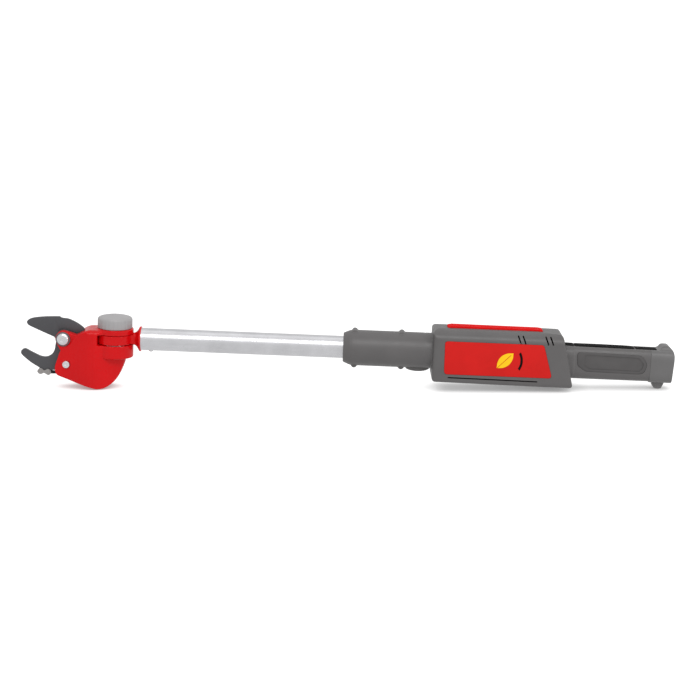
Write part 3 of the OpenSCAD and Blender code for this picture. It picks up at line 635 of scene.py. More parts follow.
def cover_zone(gap=0.0):
    """Side outline of the part of the gearbox that its far cover closes."""
    return [Vector(p) for p in [(-420, -90), (-270, -90), (-270, -29 - gap), (-345, -29 - gap),
                                (-354 - gap, -8), (-354 - gap, 40), (-420, 40)]]


def head_hollow():
    """Room for the gears and the motor."""
    room = plate("room", head_outline(), "y", *HEAD_SIDES)
    thin = Matrix.Translation((BOWL[0] * MM, 0, AXIS_Z + BOWL[1] * MM))
    room.data.transform(thin @ Matrix.Diagonal((0.9, 1, 0.9, 1)) @ thin.inverted())
    common(room, plate("plan", head_plan(WALL), "z", -80, 40))
    zone = [Vector(p) for p in [(-420, -90), (-270, -90), (-270, -32), (-347, -32), (-357, -10),
                                (-357, 40), (-420, 40)]]
    return common(room, plate("zone", zone, "y", *HEAD_SIDES))


def blade_gap():
    """Slot in the middle plane for the jaw and for the blade's swing."""
    low, high = JAW_LOW.y - 0.05, BLADE_HIGH.y + 0.3
    swing = plate("swing", ring(PIVOT, 29.6, 64), "y", low, high)
    mouth = [Vector(p) for p in [(-402, -46.7), (-366, -46.7), (-366, 0), (-402, 26)]]
    stay = [Vector(p) for p in [(-402, -53), (-386, -53), (-386, -45), (-402, -45)]]
    return join(swing, plate("mouth", mouth, "y", low, high), plate("stay", stay, "y", low, high))


def bolt_ways():
    """Holes through the gearbox for the pivot, the jaw's screw and the drive shaft."""
    ways = [rod("way", "y", PIVOT, PIVOT_BORE_R, -40, 40),
            rod("way", "y", JAW_SCREW, JAW_SCREW_BORE_R, -40, 40),
            rod("way", "y", SHAFT, 3.05, -18.2, 16)]
    ways += [rod("way", "y", at, 1.5, -8, 40) for at in COVER_SCREWS]
    return ways


def casting_outside():
    """Outside of the whole casting with its two swivel ears, softened in one piece."""
    outside = head_solid()
    ear = plate("ear", ear_outline(), "y", -15, 13.6)
    upper = rod("upper", "z", (KNOB_X, 0), EAR_R, GAP_HIGH - 2, EAR_TOP, 1.0, 96)
    lower = rod("lower", "z", (KNOB_X, 0), EAR_R, -25, GAP_LOW + 2, 1.2, 96)
    join(outside, ear, upper, lower)
    gap = plate("gap", box_outline((KNOB_X - SWIVEL_ROOM_DEPTH, -40), (KNOB_X + 60, 40), 0), "z",
                GAP_LOW, GAP_HIGH)
    cut(outside, join(gap, rod("gap", "z", (KNOB_X, 0), SWIVEL_ROOM_R, GAP_LOW, GAP_HIGH, 0, 96)))
    return soften(outside, 0.7, 8)


def inner_posts(limits):
    """Posts round the pivot and the screws, kept within the casting's outside."""
    posts = [rod("post", "y", PIVOT, 9.4, -14.6, 13.2), rod("post", "y", JAW_SCREW, 7.6, -17, 12),
             rod("post", "y", SHAFT, 6, -19, -6), rod("post", "y", SHAFT, 6, 12.4, 18)]
    posts += [rod("post", "y", at, 4, -22, 20) for at in COVER_SCREWS]
    join(posts[0], *posts[1:])
    return common(posts[0], limits)


def bore_casting(casting):
    """Blade slot, bolt holes, seats and the rooms for the motor, the gears and the clamp."""
    cut(casting, blade_gap(), *bolt_ways(), rod("screw_seat", "y", JAW_SCREW, 6.4, -40, -15.6),
        rod("washer_seat", "y", PIVOT, 10.1, -40, -14.9), rod("pinion_room", "y", SHAFT, 9.6, -0.4, 4.7))
    cut(casting, rod("can", "y", MOTOR, 14.1, -17.3, 5.6), rod("nose", "y", MOTOR, 8, 0, 12.6),
        rod("gear_room", "y", SHAFT, 19.6, 6.6, 12.2),
        rod("clamp", "z", (KNOB_X, 0), CLAMP_BOLT_WAY_R, -24, 40),
        rod("nut_room", "z", (KNOB_X, 0), 7.6, -21, -14))


def build_gearbox():
    """Casting hollowed, bored and split into the gearbox and its far cover."""
    outside = casting_outside()
    limits = copy_of(outside)
    cut(outside, head_hollow())
    join(outside, inner_posts(limits))
    bore_casting(outside)
    cover = copy_of(outside)
    cut(outside, plate("behind", cover_zone(), "y", SPLIT_Y, 60))
    common(cover, plate("behind", cover_zone(0.15), "y", SPLIT_Y + 0.1, 60))
    cut(cover, rod("ear_room", "z", (KNOB_X, 0), EAR_R + 0.3, -30, 30),
        *[rod("head_room", "y", at, 3.1, 13, 40) for at in COVER_SCREWS],
        rod("screw_room", "y", JAW_SCREW, 5.6, 13, 40), rod("nut_seat", "y", PIVOT, 9, 14, 40))
    place_piece(outside, "gearbox_casting", "head", RED_COAT, "red_casting", "head_casting", angle=40)
    place_piece(cover, "gearbox_cover", "head", RED_COAT, "red_casting", "head_cover", angle=40)


# ---------------------------------------------------------------- cutters


BEVEL_DEGREES = 20
BEVEL_MIDDLE = (-415.7, 6.5)
EDGE_HEADING = Vector((-0.92, 0, 0.39))


def blade_outline():
    """Side outline of the blade: cutting edge, tip, notched back and the tail round the pivot."""
    px, pz = PIVOT
    edge = [(-395.7, -2), (-406.5, 2.5), (-414.5, 5.8), (-422.6, 9.3), (-429.6, 12.6)]
    tip = [(-431.9, 15.2), (-431.9, 18), (-429.3, 20.5), (-425.3, 22.2), (-420, 23.4)]
    back = [(-409.3, 24.8), (-398.6, 25.5), (-388.6, 25.9), (-386.4, 24.4), (-383.6, 23.8), (-377.1, 23.2),
            (-371.7, 21.3), (-366.4, 18.8), (-361, 15.5), (-355.6, 10.9)]
    tail = [(-354, 4), (-357, -5), (px + 10, pz - 9), (px, pz - 12), (-390.6, -8.4)]
    return smooth(edge + tip + back + tail, (0, 12, 13))


def bevel_cutter():
    """Wedge of material ground off along the cutting edge, tilted about it."""
    strip = [Vector(p) for p in [(-394, -3.5), (-394, 2.4), (-407.5, 7.6), (-416.5, 11.3), (-431, 17.6),
                                 (-436, 14), (-429, 8.5), (-414, 1.6), (-404, -3.5)]]
    cutter = plate("grind", strip, "y", 2.6, 8)
    x, z = BEVEL_MIDDLE
    middle = Matrix.Translation(Vector((x * MM, BLADE_HIGH.y * MM, AXIS_Z + z * MM)))
    turn = Matrix.Rotation(math.radians(-BEVEL_DEGREES), 4, EDGE_HEADING)
    cutter.data.transform(middle @ turn @ middle.inverted())
    return cutter


def build_blade():
    blade = plate("blade", blade_outline(), "y", BLADE_LOW.y, BLADE_HIGH.y)
    cut(blade, bevel_cutter())
    join(blade, sector())
    cut(blade, rod("bore", "y", PIVOT, PIVOT_BORE_R, -10, 10))
    break_edges(blade, 0.35, 40, 2)
    place_piece(blade, "bypass_blade", "blade", COATED, "tool_steel", "blade")


def sector():
    """Toothed sector on the blade's tail, in mesh with the drive pinion at rest."""
    module, teeth = 1.25, 40
    pitch = 360 / teeth
    first = -math.ceil((JOINTS["blade_close"]["range_deg"][1] + 8) / pitch)
    heading = math.degrees(math.atan2(SHAFT[1] - PIVOT[1], SHAFT[0] - PIVOT[0]))
    flank = ((-1.5, 3.2), (-0.9, 2.9), (0.0, 2.1), (0.8, 1.25), (1.12, 0.8))
    outline = [Vector(PIVOT)]
    for k in range(first, 2):
        centre = heading + k * pitch
        tooth = [(height, centre - half) for height, half in flank]
        tooth += [(height, centre + half) for height, half in reversed(flank)]
        for height, angle in tooth:
            around = Vector((math.cos(math.radians(angle)), math.sin(math.radians(angle))))
            outline.append(Vector(PIVOT) + (module * teeth / 2 + height) * around)
    return plate("sector", outline, "y", BLADE_LOW.y, BLADE_HIGH.y)


LINK_RIVETS = [(-412.7, -48.6), (-402.6, -49.4)]


def jaw_outline():
    """Side outline of the jaw: lower edge, heel, tail in the housing, throat and hooked tip."""
    lower = [(-437.6, -27.3), (-433.2, -31.3), (-425.1, -37.6), (-417, -42.4), (-411.5, -45.6)]
    heel = [(-406, -47.1), (-400.8, -47.2), (-394.1, -46.4)]
    tail = [(-372, -46.4), (-366.6, -44), (-366.6, -20), (-369.4, -4), (-391.6, -4)]
    throat = [(-392.9, -11.2), (-393.8, -17.4), (-396.4, -23.1), (-400.3, -26.9), (-405.6, -29),
              (-411.7, -28.6), (-417.1, -26.6), (-426.5, -22.2)]
    tip = [(-432.4, -19.2), (-436, -19.3), (-438.6, -21.5), (-439.1, -24.5)]
    return smooth(lower + heel + tail + throat + tip, (8, 9, 10, 11, 12))


def build_jaw():
    low, high = JAW_LOW.y, JAW_HIGH.y
    front_rivet, rear_rivet = LINK_RIVETS
    jaw = plate("jaw", jaw_outline(), "y", low, high)
    join(jaw, rod("eye", "y", PIVOT, 11.2, low, high), rod("lug", "y", front_rivet, 3.4, low, high))
    cut(jaw, rod("pivot_way", "y", PIVOT, PIVOT_BORE_R, -20, 20),
        rod("screw_way", "y", JAW_SCREW, JAW_SCREW_BORE_R, -20, 20),
        rod("rivet_way", "y", front_rivet, 1.5, -20, 20), rod("rivet_room", "y", rear_rivet, 3.4, -20, 20))
    break_edges(jaw, 0.6, 40, 3)
    place_piece(jaw, "hooked_jaw", "head", COATED, "tool_steel", "jaw")


def build_pivot_bolt():
    """Bolt with a domed head and a hexagonal socket, and the ring under it."""
    low, high = span("pivot_bolt")
    shank_r = PIVOT_BORE_R - 0.05
    profile = [(0, low.y), (3, low.y + 0.1), (5.4, low.y + 0.5), (7, low.y + 1.2), (7.9, low.y + 2.2),
               (8.2, low.y + 3), (8.2, -16), (shank_r, -15.9), (shank_r, high.y - 0.6),
               (shank_r - 0.6, high.y), (0, high.y)]
    bolt = turned("bolt", profile, "y", PIVOT)
    cut(bolt, plate("socket", ring(PIVOT, 3.4, 6), "y", low.y - 1, low.y + 1.9))
    break_edges(bolt, 0.2, 40, 2)
    place_piece(bolt, "pivot_bolt_head", "head", ZINC, "zinc_steel", "pivot_bolt")
    low, high = span("pivot_washer")
    profile = [(PIVOT_BORE_R, low.y), (9.5, low.y), (9.8, low.y + 0.3), (9.8, high.y),
               (PIVOT_BORE_R, high.y)]
    washer = turned("washer", profile, "y", PIVOT)
    place_piece(washer, "pivot_ring", "head", WASHER_GREY, "zinc_steel", "pivot_washer")


def build_jaw_screw():
    """Screw with a hexagonal socket at both ends."""
    low, high = span("jaw_screw")
    shank_r = JAW_SCREW_BORE_R - 0.05
    profile = [(0, low.y), (3.2, low.y + 0.1), (4.6, low.y + 0.6), (5, low.y + 1.4), (5, -15.6),
               (shank_r, -15.6), (shank_r, 13.1), (5, 13.1), (5, high.y - 0.6), (4.4, high.y), (0, high.y)]
    screw = turned("screw", profile, "y", JAW_SCREW)
    cut(screw, plate("socket", ring(JAW_SCREW, 1.9, 6), "y", low.y - 1, low.y + 1.3),
        plate("back_socket", ring(JAW_SCREW, 1.9, 6), "y", high.y - 1.3, high.y + 1))
    break_edges(screw, 0.15, 40, 2)
    place_piece(screw, "jaw_screw_head", "head", ZINC, "zinc_steel", "jaw_screw")


def build_heel_link():
    """Two figure-of-eight plates with a rivet through each end."""
    low, high = span("heel_link")
    figure_of_eight = smooth([
        (-416.9, -48.6), (-414.6, -52.1), (-411, -52.3), (-408.2, -51), (-405.6, -52), (-402.4, -53.6),
        (-399.2, -52), (-398.4, -49.4), (-400, -46.4), (-403, -45.2), (-405.4, -46.4), (-408, -47.2),
        (-410.4, -45.2), (-413.6, -44.6),
    ])
    link = plate("front_plate", figure_of_eight, "y", -6.5, -5.1)
    parts = [plate("back_plate", figure_of_eight, "y", 0.1, 1.5)]
    for at in LINK_RIVETS:
        parts.append(rod("pin", "y", at, 1.45, -6.6, 1.6))
        for y0, y1 in ((low.y, -6.45), (1.45, high.y)):
            parts.append(rod("rivet", "y", at, 2.4, y0, y1, 0.35))
    join(link, *parts)
    break_edges(link, 0.18, 40, 2)
    place_piece(link, "heel_link_plates", "head", LINK_STEEL, "zinc_steel", "heel_link")


# ---------------------------------------------------------------- knob


FLUTES = 24
FLUTE_DEPTH = 0.3


def build_knob():
    """Knob with a fluted rim and a slightly domed top."""
    low, high = span("knob")
    radius = high.x - KNOB_X

    def fluted(r, height, angle):
        if r < radius - 0.6:
            return r
        return r - FLUTE_DEPTH * (0.5 + 0.5 * math.cos(FLUTES * angle)) ** 3

    foot = [(0, low.z), (radius - 1, low.z), (radius - 0.3, low.z + 0.3), (radius, low.z + 1)]
    shoulder = [(0, 5.8), (0.2, 4.8), (0.6, 3.9), (1.4, 3.1), (2.6, 2.5)]
    dome = [(4.6, 1.9), (7.2, 1.3), (10.6, 0.8), (14.6, 0.4), (18.6, 0.1)]
    upper = [(radius - inward, high.z - down) for inward, down in shoulder + dome]
    knob = turned("knob", foot + upper + [(0, high.z)], "z", (KNOB_X, 0), 384, fluted)
    cut(knob, rod("washer_room", "z", (KNOB_X, 0), 12.4, low.z - 1, 15.8),
        rod("stud_way", "z", (KNOB_X, 0), 4.4, 13, 20),
        plate("hex_room", ring((KNOB_X, 0), 7.6, 6), "z", 18, 23.2))
    place_piece(knob, "clamp_knob", "knob", KNOB_GREY, "knob_plastic", "knob", angle=50)


# ---------------------------------------------------------------- handle

SHELL_LOW, SHELL_HIGH = span("shell_left")
STRIP_LOW, STRIP_HIGH = span("top_strip")
PADDLE_LOW, PADDLE_HIGH = span("trigger_paddle")
LEVER_LOW, LEVER_HIGH = span("lock_lever")
CAP_LOW, CAP_HIGH = span("end_cap")
COLLAR_X = SHELL_LOW.x
COLLAR_R = 23.4
SOFTENING_LOSS = 0.6
BORE_R = 17.6
WEDGE_X = 112.0
WEDGE_END = 302.0
WEDGE_HALF_W = 32.0
WEDGE_TOP = 34.0
WEDGE_FOOT = -38.4
GRIP_HALF_W = 18.5
GRIP_R = 14.0
GRIP_TOP = 15.9
GRIP_FOOT = -28.8
CAP_FOOT = -29.3
GRIP_END = SHELL_HIGH.x
SOCKET_Z = 23.6
TRIM_PROUD = 0.35
PANEL_DEPTH = 1.0
PAD_DEPTH = 1.2
STRIP_HALF_W = 9.8
ROOF_HALF_W = 9.2
SIDES = ((-1, "left"), (1, "right"))
SLIT = ((134, -29.2), (252, -30.2))
VENTS_X = (225.6, 232.0, 262.2, 268.6)
BOSSES = [(x, side * 21.9) for x in (8, 71) for side in (1, -1)]
SCREWS = BOSSES + [(120.5, 26.5), (121, -27), (272, -27), (243, 26), (313, -21.2), (394, -21.2)]


def wedge_outline(inset=0.0):
    """Side outline of the wedge: a flat roof that rolls over steeply behind, and a slanted rear."""
    i = inset
    return rounded([(WEDGE_X + i, WEDGE_FOOT + 2.4 + i, 5), (WEDGE_END - 1.2 - i, WEDGE_FOOT + i, 5),
                    (286.8 - i, 21, 20), (284.8 - i, 32.6 - i, 7), (268, WEDGE_TOP - 0.6 - i, 20),
                    (250, WEDGE_TOP - i, 30), (WEDGE_X + i, WEDGE_TOP - i, 8)], 8)


def wedge_section(inset=0.0):
    """Cross-section of the wedge, whose roof rolls over gently to the sides."""
    w, top = WEDGE_HALF_W - inset, WEDGE_TOP - inset
    wide, deep = 20 - inset, 13 - inset
    turns = [math.radians(7.5 * k) for k in range(13)]
    roll = [Vector((w - wide * (1 - math.cos(a)), top - deep * (1 - math.sin(a)))) for a in turns]
    steps = 8
    foot = rounded([(-w, WEDGE_FOOT + inset, 7), (w, WEDGE_FOOT + inset, 7), (w, 0, 0), (-w, 0, 0)], steps)
    both_foot_edges = foot[:2 * (steps + 1)]
    return both_foot_edges + roll + [Vector((-p.x, p.y)) for p in reversed(roll)]


def wedge_plan(inset=0.0):
    """Plan outline of the wedge, with round vertical edges at the front and at the rear."""
    i = inset
    w = WEDGE_HALF_W - i
    return rounded([(WEDGE_X + i, -w, 7), (WEDGE_END - i, -w, 5), (WEDGE_END - i, w, 5),
                    (WEDGE_X + i, w, 7)], 8)


def tall_section(half_w, low, high, low_r, high_r):
    """Cross-section with one radius below and another above."""
    return rounded([(-half_w, low, low_r), (half_w, low, low_r),
                    (half_w, high, high_r), (-half_w, high, high_r)], 10)


def wedge_solid(inset=0.0):
    """Wedge as the common part of its side view, cross-section and plan."""
    body = plate("wedge", wedge_outline(inset), "y", -60, 60)
    section = plate("section", wedge_section(inset), "x", 90, 330)
    return common(body, section, plate("plan", wedge_plan(inset), "z", -60, 60))


def grip_solid(inset=0.0, past_end=0.0):
    """Grip, a little taller at the wedge than at its end."""
    i, end = inset, GRIP_END + past_end
    foot, top = GRIP_FOOT + i, GRIP_TOP - i
    outline = [Vector(p) for p in [(270, foot + 0.8), (end, foot), (end, top - 1.2), (300, top),
                                   (286, top + 1), (270, top + 1)]]
    section = tall_section(GRIP_HALF_W - i, foot, top + 1, GRIP_R - i, GRIP_R - i)
    return common(plate("grip", outline, "y", -60, 60), plate("section", section, "x", 250, 450))


def grip_ring():
    """Low ring round the grip just behind the wedge."""
    section = tall_section(GRIP_HALF_W + 0.7, GRIP_FOOT + 0.3, GRIP_TOP + 0.4, GRIP_R, GRIP_R)
    return plate("ring", section, "x", 286, WEDGE_END - 0.4)


def collar_solid():
    """Collar, drawn a little larger than it ends up, since softening shrinks round surfaces."""
    x, r = COLLAR_X, COLLAR_R + SOFTENING_LOSS
    mouth = [(0, x), (r - 4.8, x), (r - 4.2, x + 0.6), (r - 0.8, x + 8.6), (r - 0.6, x + 9.3),
             (r - 0.8, x + 9.9), (r - 0.1, x + 11.4), (r, x + 13)]
    groove = [(r, 101.2), (r - 0.6, 101.6), (r - 0.6, 102.4), (r, 102.8)]
    rear = WEDGE_X + 10
    return turned("collar", mouth + groove + [(r, rear), (0, rear)], "x", ORIGIN, 128)


def panel_outline(inset=0.0):
    """Side panel's outline, with a slanted rear edge."""
    i = inset
    return rounded([(127.2 + i, 20.2 - i, 4), (259 - i, 20.2 - i, 5), (272.2 - 4 * i / 3, -25 + i, 4),
                    (127.8 + i, -25 + i, 5)], 8)


def pad_outline(inset=0.0):
    """Outline of the soft inlay in the grip, slanted in front and round behind."""
    i = inset
    return rounded([(304.6 + i, 10.2 - i, 6), (392 - i, 8.2 - i, 9), (401 - i, -4, 12),
                    (395 - i, -17.4 + i, 9), (318 + i, -16.4 + i, 10), (306.4 + i, -9 + i * 0.5, 6)], 8)


def arc_slot():
    """Curved slot beside the panel's mark."""
    centre = (208, -3)
    outer = ring(centre, 23.8, 14, -33, 64)
    inner = ring(centre, 20.5, 14, -30, 58)
    return outer + list(reversed(inner))


def both_sides(outline, depth, half_w, name="side_cut"):
    """The same outline cut into both sides of the handle."""
    left = plate(name, outline, "y", -half_w - 3, -half_w + depth)
    return join(left, plate(name, outline, "y", half_w - depth, half_w + 3))


def handle_room():
    """Hollow of the wedge, the collar's bore and the grip."""
    room = join(wedge_solid(WALL), rod("bore", "x", ORIGIN, BORE_R, COLLAR_X - 3, 286, 0, 96))
    return join(room, grip_solid(WALL, 12))


def screw_posts(limits):
    """Posts for the screws behind the collar, kept within the handle's outside."""
    posts = [rod("post", "y", at, 4, -40, 40, 0, 24) for at in SCREWS[len(BOSSES):]]
    join(posts[0], *posts[1:])
    return common(posts[0], limits)


def handle_openings():
    """Openings for the trigger, the lock lever, the top strip and everything let into the sides."""
    roof_w = ROOF_HALF_W + 0.1
    paddle = box_outline((PADDLE_LOW.x - 0.7, -roof_w), (PADDLE_HIGH.x + 0.7, roof_w), 1.5)
    lever = box_outline((LEVER_LOW.x - 1, -6.9), (LEVER_HIGH.x + 2, 6.9), 1)
    bed_w = STRIP_HALF_W + 0.1
    strip_bed = box_outline((STRIP_LOW.x - 0.2, -bed_w), (STRIP_HIGH.x + 0.2, bed_w), 3)
    return [plate("paddle_way", paddle, "z", 8, 30), plate("lever_way", lever, "z", -45, -10),
            plate("strip_bed", strip_bed, "z", STRIP_LOW.z, 60),
            both_sides(panel_outline(), PANEL_DEPTH, WEDGE_HALF_W),
            both_sides(stadium(*SLIT, 0.9), 2.6, WEDGE_HALF_W),
            both_sides(arc_slot(), 2.7, WEDGE_HALF_W),
            both_sides(pad_outline(), PAD_DEPTH, GRIP_HALF_W)]


def bore_handle(body):
    """Vents, the charge socket's hole, pin holes and screw holes."""
    for x in VENTS_X:
        cut(body, plate("vent", stadium((x - 1, 29.6), (x + 2.4, 20.6), 0.95), "y", -60, 60))
    cut(body, rod("socket_way", "x", (0, SOCKET_Z), 4.6, 270, 310),
        rod("trigger_pin_way", "y", TRIGGER, 1.5, -12.5, 12.5),
        rod("lock_pin_way", "y", LOCK, 1.25, -9.6, 9.6))
    cut(body, *[rod("screw_way", "y", at, 1.5, -8.5, 40, 0, 24) for at in SCREWS])
    cut(body, *[rod("screw_bed", "y", at, 3.1, 7, 40, 0, 32) for at in SCREWS])


def build_shells():
    """Collar, wedge and grip softened as one solid, then hollowed, cut and split along the middle."""
    body = join(collar_solid(), wedge_solid(), grip_solid(0, 6), grip_ring())
    join(body, *[rod("boss", "y", at, 4, -9.4, 9.4, 0.8, 32) for at in BOSSES])
    soften(body, 0.8, 4)
    limits = copy_of(body)
    cut(body, handle_room())
    join(body, screw_posts(limits))
    cut(body, *handle_openings())
    bore_handle(body)
    cut(body, plate("end", box_outline((GRIP_END, -50), (GRIP_END + 40, 50), 0), "z", -60, 60))
    for side, tag in SIDES:
        half = copy_of(body)
        low, high = sorted((0.06 * side, 60 * side))
        common(half, plate("half", box_outline((-100, low), (500, high), 0), "z", -80, 80))
        place_piece(half, "handle_shell_" + tag, "handle", GREY, "housing_plastic", "shell_" + tag, angle=38)
    bpy.data.objects.remove(body)


def build_panel(side, tag):
    """Red side panel with its curved slot."""
    low, high = sorted(((WEDGE_HALF_W + TRIM_PROUD) * side, (WEDGE_HALF_W - PANEL_DEPTH) * side))
    panel = plate("panel", panel_outline(0.3), "y", low, high)
    break_edges(panel, 0.35, 40, 3)
    cut(panel, plate("arc", arc_slot(), "y", -60, 60))
    place_piece(panel, "red_panel_" + tag, "handle", RED_INLAY, "red_plastic", "side_panel_" + tag)


def build_leaf(side, tag):
    """Yellow leaf with a vein, on the face of the side panel."""
    face = (WEDGE_HALF_W + TRIM_PROUD) * side
    low, high = sorted((face, face + 0.4 * side))
    leaf = smooth([(197.4, -13.4), (198.6, -4.4), (203.4, 3), (211, 6.8), (218.8, 7.4), (218, -0.6),
                   (213.6, -8.2), (206.2, -12.6)], (0, 4), 8)
    vein = [Vector(p) for p in [(197, -13.8), (197.8, -14), (216, 4.4), (215.4, 4.9)]]
    mark = plate("mark", leaf, "y", low, high)
    cut(mark, plate("vein", vein, "y", -60, 60))
    place_piece(mark, "leaf_mark_" + tag, "handle", YELLOW, "yellow_print", "side_mark_" + tag)


def build_pad(side, tag):
    """Soft inlay in the side of the grip, with a shallow hollow for the fingers."""
    face = (GRIP_HALF_W + 0.4) * side
    low, high = sorted((face, (GRIP_HALF_W - PAD_DEPTH) * side))
    pad = plate("pad", pad_outline(0.15), "y", low, high)
    break_edges(pad, 0.8, 40, 4)
    hollow = rounded([(316, 6.6, 3), (388, 5, 7), (396, -4, 9), (391, -13.6, 7), (322, -12.8, 6),
                      (316, -9, 3)], 8)
    low, high = sorted((face + 3 * side, face - 0.9 * side))
    cut(pad, plate("dent", hollow, "y", low, high))
    place_piece(pad, "grip_inlay_" + tag, "handle", RUBBER, "pad_rubber", "grip_pad_" + tag)


def build_side_trim():
    """Panels, marks and grip pads on both sides."""
    for side, tag in SIDES:
        build_panel(side, tag)
        build_leaf(side, tag)
        build_pad(side, tag)


def build_slot_shade_sheets():
    """Black sheets of painted shade just inside the curved slot and the long slit on both sides, standing in
    for the dark hollow behind them.
    """
    for side, tag in SIDES:
        low, high = sorted(((WEDGE_HALF_W - 0.7) * side, (WEDGE_HALF_W - 1.4) * side))
        # Painted shade: a black sheet in each slot makes it read as a deep dark opening.
        shade_sheet = plate("arc", arc_slot(), "y", low, high)
        join(shade_sheet, plate("slit", stadium(*SLIT, 0.95), "y", low, high))
        place_piece(shade_sheet, "slot_painted_shade_" + tag, "handle", TRIGGER_BLACK, "black_plastic")


def build_roof_dark_strips():
    """Black strips along the top edge of the grip that carry the trigger's dark line on, forwards to the
    wedge and back to the cap.
    """
    foot, clear = 13, 1.4
    front, rear = PADDLE_HIGH.x + clear, CAP_LOW.x + 9.8
    behind = [Vector(p) for p in [(front, foot), (rear, foot), (rear, 14.8), (front, 15.3)]]
    inlay = plate("inlay", behind, "y", -ROOF_HALF_W, ROOF_HALF_W)
    front, rear = 286, PADDLE_LOW.x - clear
    ahead = [Vector(p) for p in [(front, foot), (rear, foot), (rear, 16.7), (front, 17.3)]]
    join(inlay, plate("ahead", ahead, "y", -ROOF_HALF_W, ROOF_HALF_W))
    common(inlay, plate("crown", tall_section(GRIP_HALF_W, -20, 17.4, 2, GRIP_R), "x", 280, 430))
    break_edges(inlay, 0.4, 40, 3)
    place_piece(inlay, "grip_roof_dark_strip", "handle", TRIGGER_BLACK, "black_plastic")


def build_top_strip():
    """Red strip let into the wedge's roof, lower at its two ends."""
    low, high = STRIP_LOW, STRIP_HIGH
    outline = rounded([(low.x, low.z, 0), (high.x, low.z, 0), (high.x, high.z - 1, 2),
                       (high.x - 6, high.z - 0.4, 4), (low.x + 6, high.z, 4), (low.x, high.z - 1, 2)])
    plan = box_outline((low.x, -STRIP_HALF_W), (high.x, STRIP_HALF_W), 3)
    strip = plate("strip", outline, "y", -STRIP_HALF_W, STRIP_HALF_W)
    common(strip, plate("plan", plan, "z", 20, 60))
    soften(strip, 0.45, 4)
    place_piece(strip, "red_top_strip", "handle", RED_TOP, "red_plastic", "top_strip")


def cap_outline():
    """Side outline of the end cap: foot, bulging rear and the raised lip on top."""
    end = CAP_HIGH.x
    foot = [(GRIP_END, CAP_FOOT), (420, CAP_FOOT - 0.2), (434.4, CAP_FOOT - 0.5)]
    rear = [(434.6, -24), (434.9, -16), (435.5, -6), (end, 4), (end - 0.2, 9.6)]
    lip = [(434.5, 14.4), (432.1, 17.4), (429.2, 20), (426.2, 21.2), (423.4, 21.4), (421, 20.7),
           (419, 18.9), (417.2, 16.2), (414, 14.8), (GRIP_END, GRIP_TOP - 1.2)]
    return smooth(foot + rear + lip, (0, 2, 17))


def build_end_cap():
    """Hollow cap with a narrow raised lip above and a lug with an eye below."""
    cap = plate("cap", cap_outline(), "y", -40, 40)
    hump = copy_of(cap)
    across = tall_section(GRIP_HALF_W + 0.5, CAP_FOOT - 0.5, GRIP_TOP + 0.4, 13, 14)
    common(cap, plate("section", across, "x", 390, 450))
    common(hump, plate("section", box_outline((-14, -10), (14, 21.6), 9), "x", 390, 450))
    join(cap, hump)
    lug_foot, root = CAP_LOW.z, CAP_FOOT - 0.5
    lug = rounded([(408.7, -24, 0), (408.7, root, 2), (413.2, lug_foot, 2.5), (422.8, lug_foot, 2.5),
                   (426.6, root, 2), (426.6, -24, 0)], 6)
    soften(join(cap, plate("lug", lug, "y", -6, 6)), 0.6, 4)
    inside = plate("inside", tall_section(15.4, CAP_FOOT + WALL, 12, 9, 9), "x", 400, CAP_HIGH.x - 5)
    cut(cap, inside, rod("eye", "x", (0, -33.9), 2.5, 400, 440))
    place_piece(cap, "grip_end_cap", "handle", CAP_GREY, "cap_plastic", "end_cap", angle=40)


KNUCKLE_R = 2.6
GRIP_MARKS = 6
GRIP_MARK_X = 352
GRIP_MARK_STEP = 4


def build_trigger():
    """Long paddle with a knuckle round its pin, a nub for the switch and cross grooves for the finger."""
    tx, tz = TRIGGER
    front, rear = PADDLE_LOW.x, PADDLE_HIGH.x
    top = [(front, 15.2, 0), (front + 0.8, 16.4, 1), (308, 16.9, 6), (338, 16.5, 6), (370, 16.1, 6),
           (380.6, 15.7, 3), (rear, 14.7, 1.5)]
    foot = [(rear, 13.4, 0.5), (312, 13.8, 1), (tx + KNUCKLE_R, tz, 0), (tx - KNUCKLE_R, tz, 0)]
    paddle = plate("paddle", rounded(top + foot, 5), "y", PADDLE_LOW.y, PADDLE_HIGH.y)
    common(paddle, plate("crown", tall_section(GRIP_HALF_W, -20, 17, 2, GRIP_R), "x", 290, 400))
    join(paddle, rod("knuckle", "y", TRIGGER, KNUCKLE_R, PADDLE_LOW.y, PADDLE_HIGH.y, 0.2, 32),
         plate("nub", box_outline((369, -3), (373, 3), 0.5), "z", 11.2, 14))
    break_edges(paddle, 0.6, 40, 3)
    for k in range(GRIP_MARKS):
        x = GRIP_MARK_X + GRIP_MARK_STEP * k
        cut(paddle, plate("groove", stadium((x, -5), (x, 5), 0.5), "z", 15.5, 22))
    cut(paddle, rod("pin_way", "y", TRIGGER, 1.55, -20, 20, 0, 32))
    place_piece(paddle, "trigger_bar", "trigger", TRIGGER_BLACK, "housing_plastic", "trigger_paddle")


def build_lock_lever():
    """Rounded lever with a step on top for the shoe."""
    front, rear = LEVER_LOW.x, LEVER_HIGH.x
    belly = [(front, -22.9), (79, -24.9), (83, -26.5), (88, -27.4), (94, -27.7), (100, -27.2), (105, -26)]
    top = [(rear, -24), (rear, -19.6), (104, -18.3), (92, -18.3), (92, -20.1), (78.4, -20.1)]
    outline = smooth(belly + top, (0, 7, 8, 10, 11, 12), 4)
    lever = plate("lever", outline, "y", LEVER_LOW.y, LEVER_HIGH.y)
    cut(lever, rod("pin_way", "y", LOCK, 1.3, -20, 20, 0, 32))
    break_edges(lever, 0.7, 40, 3)
    place_piece(lever, "lock_lever_body", "lock", GREY, "housing_plastic", "lock_lever")


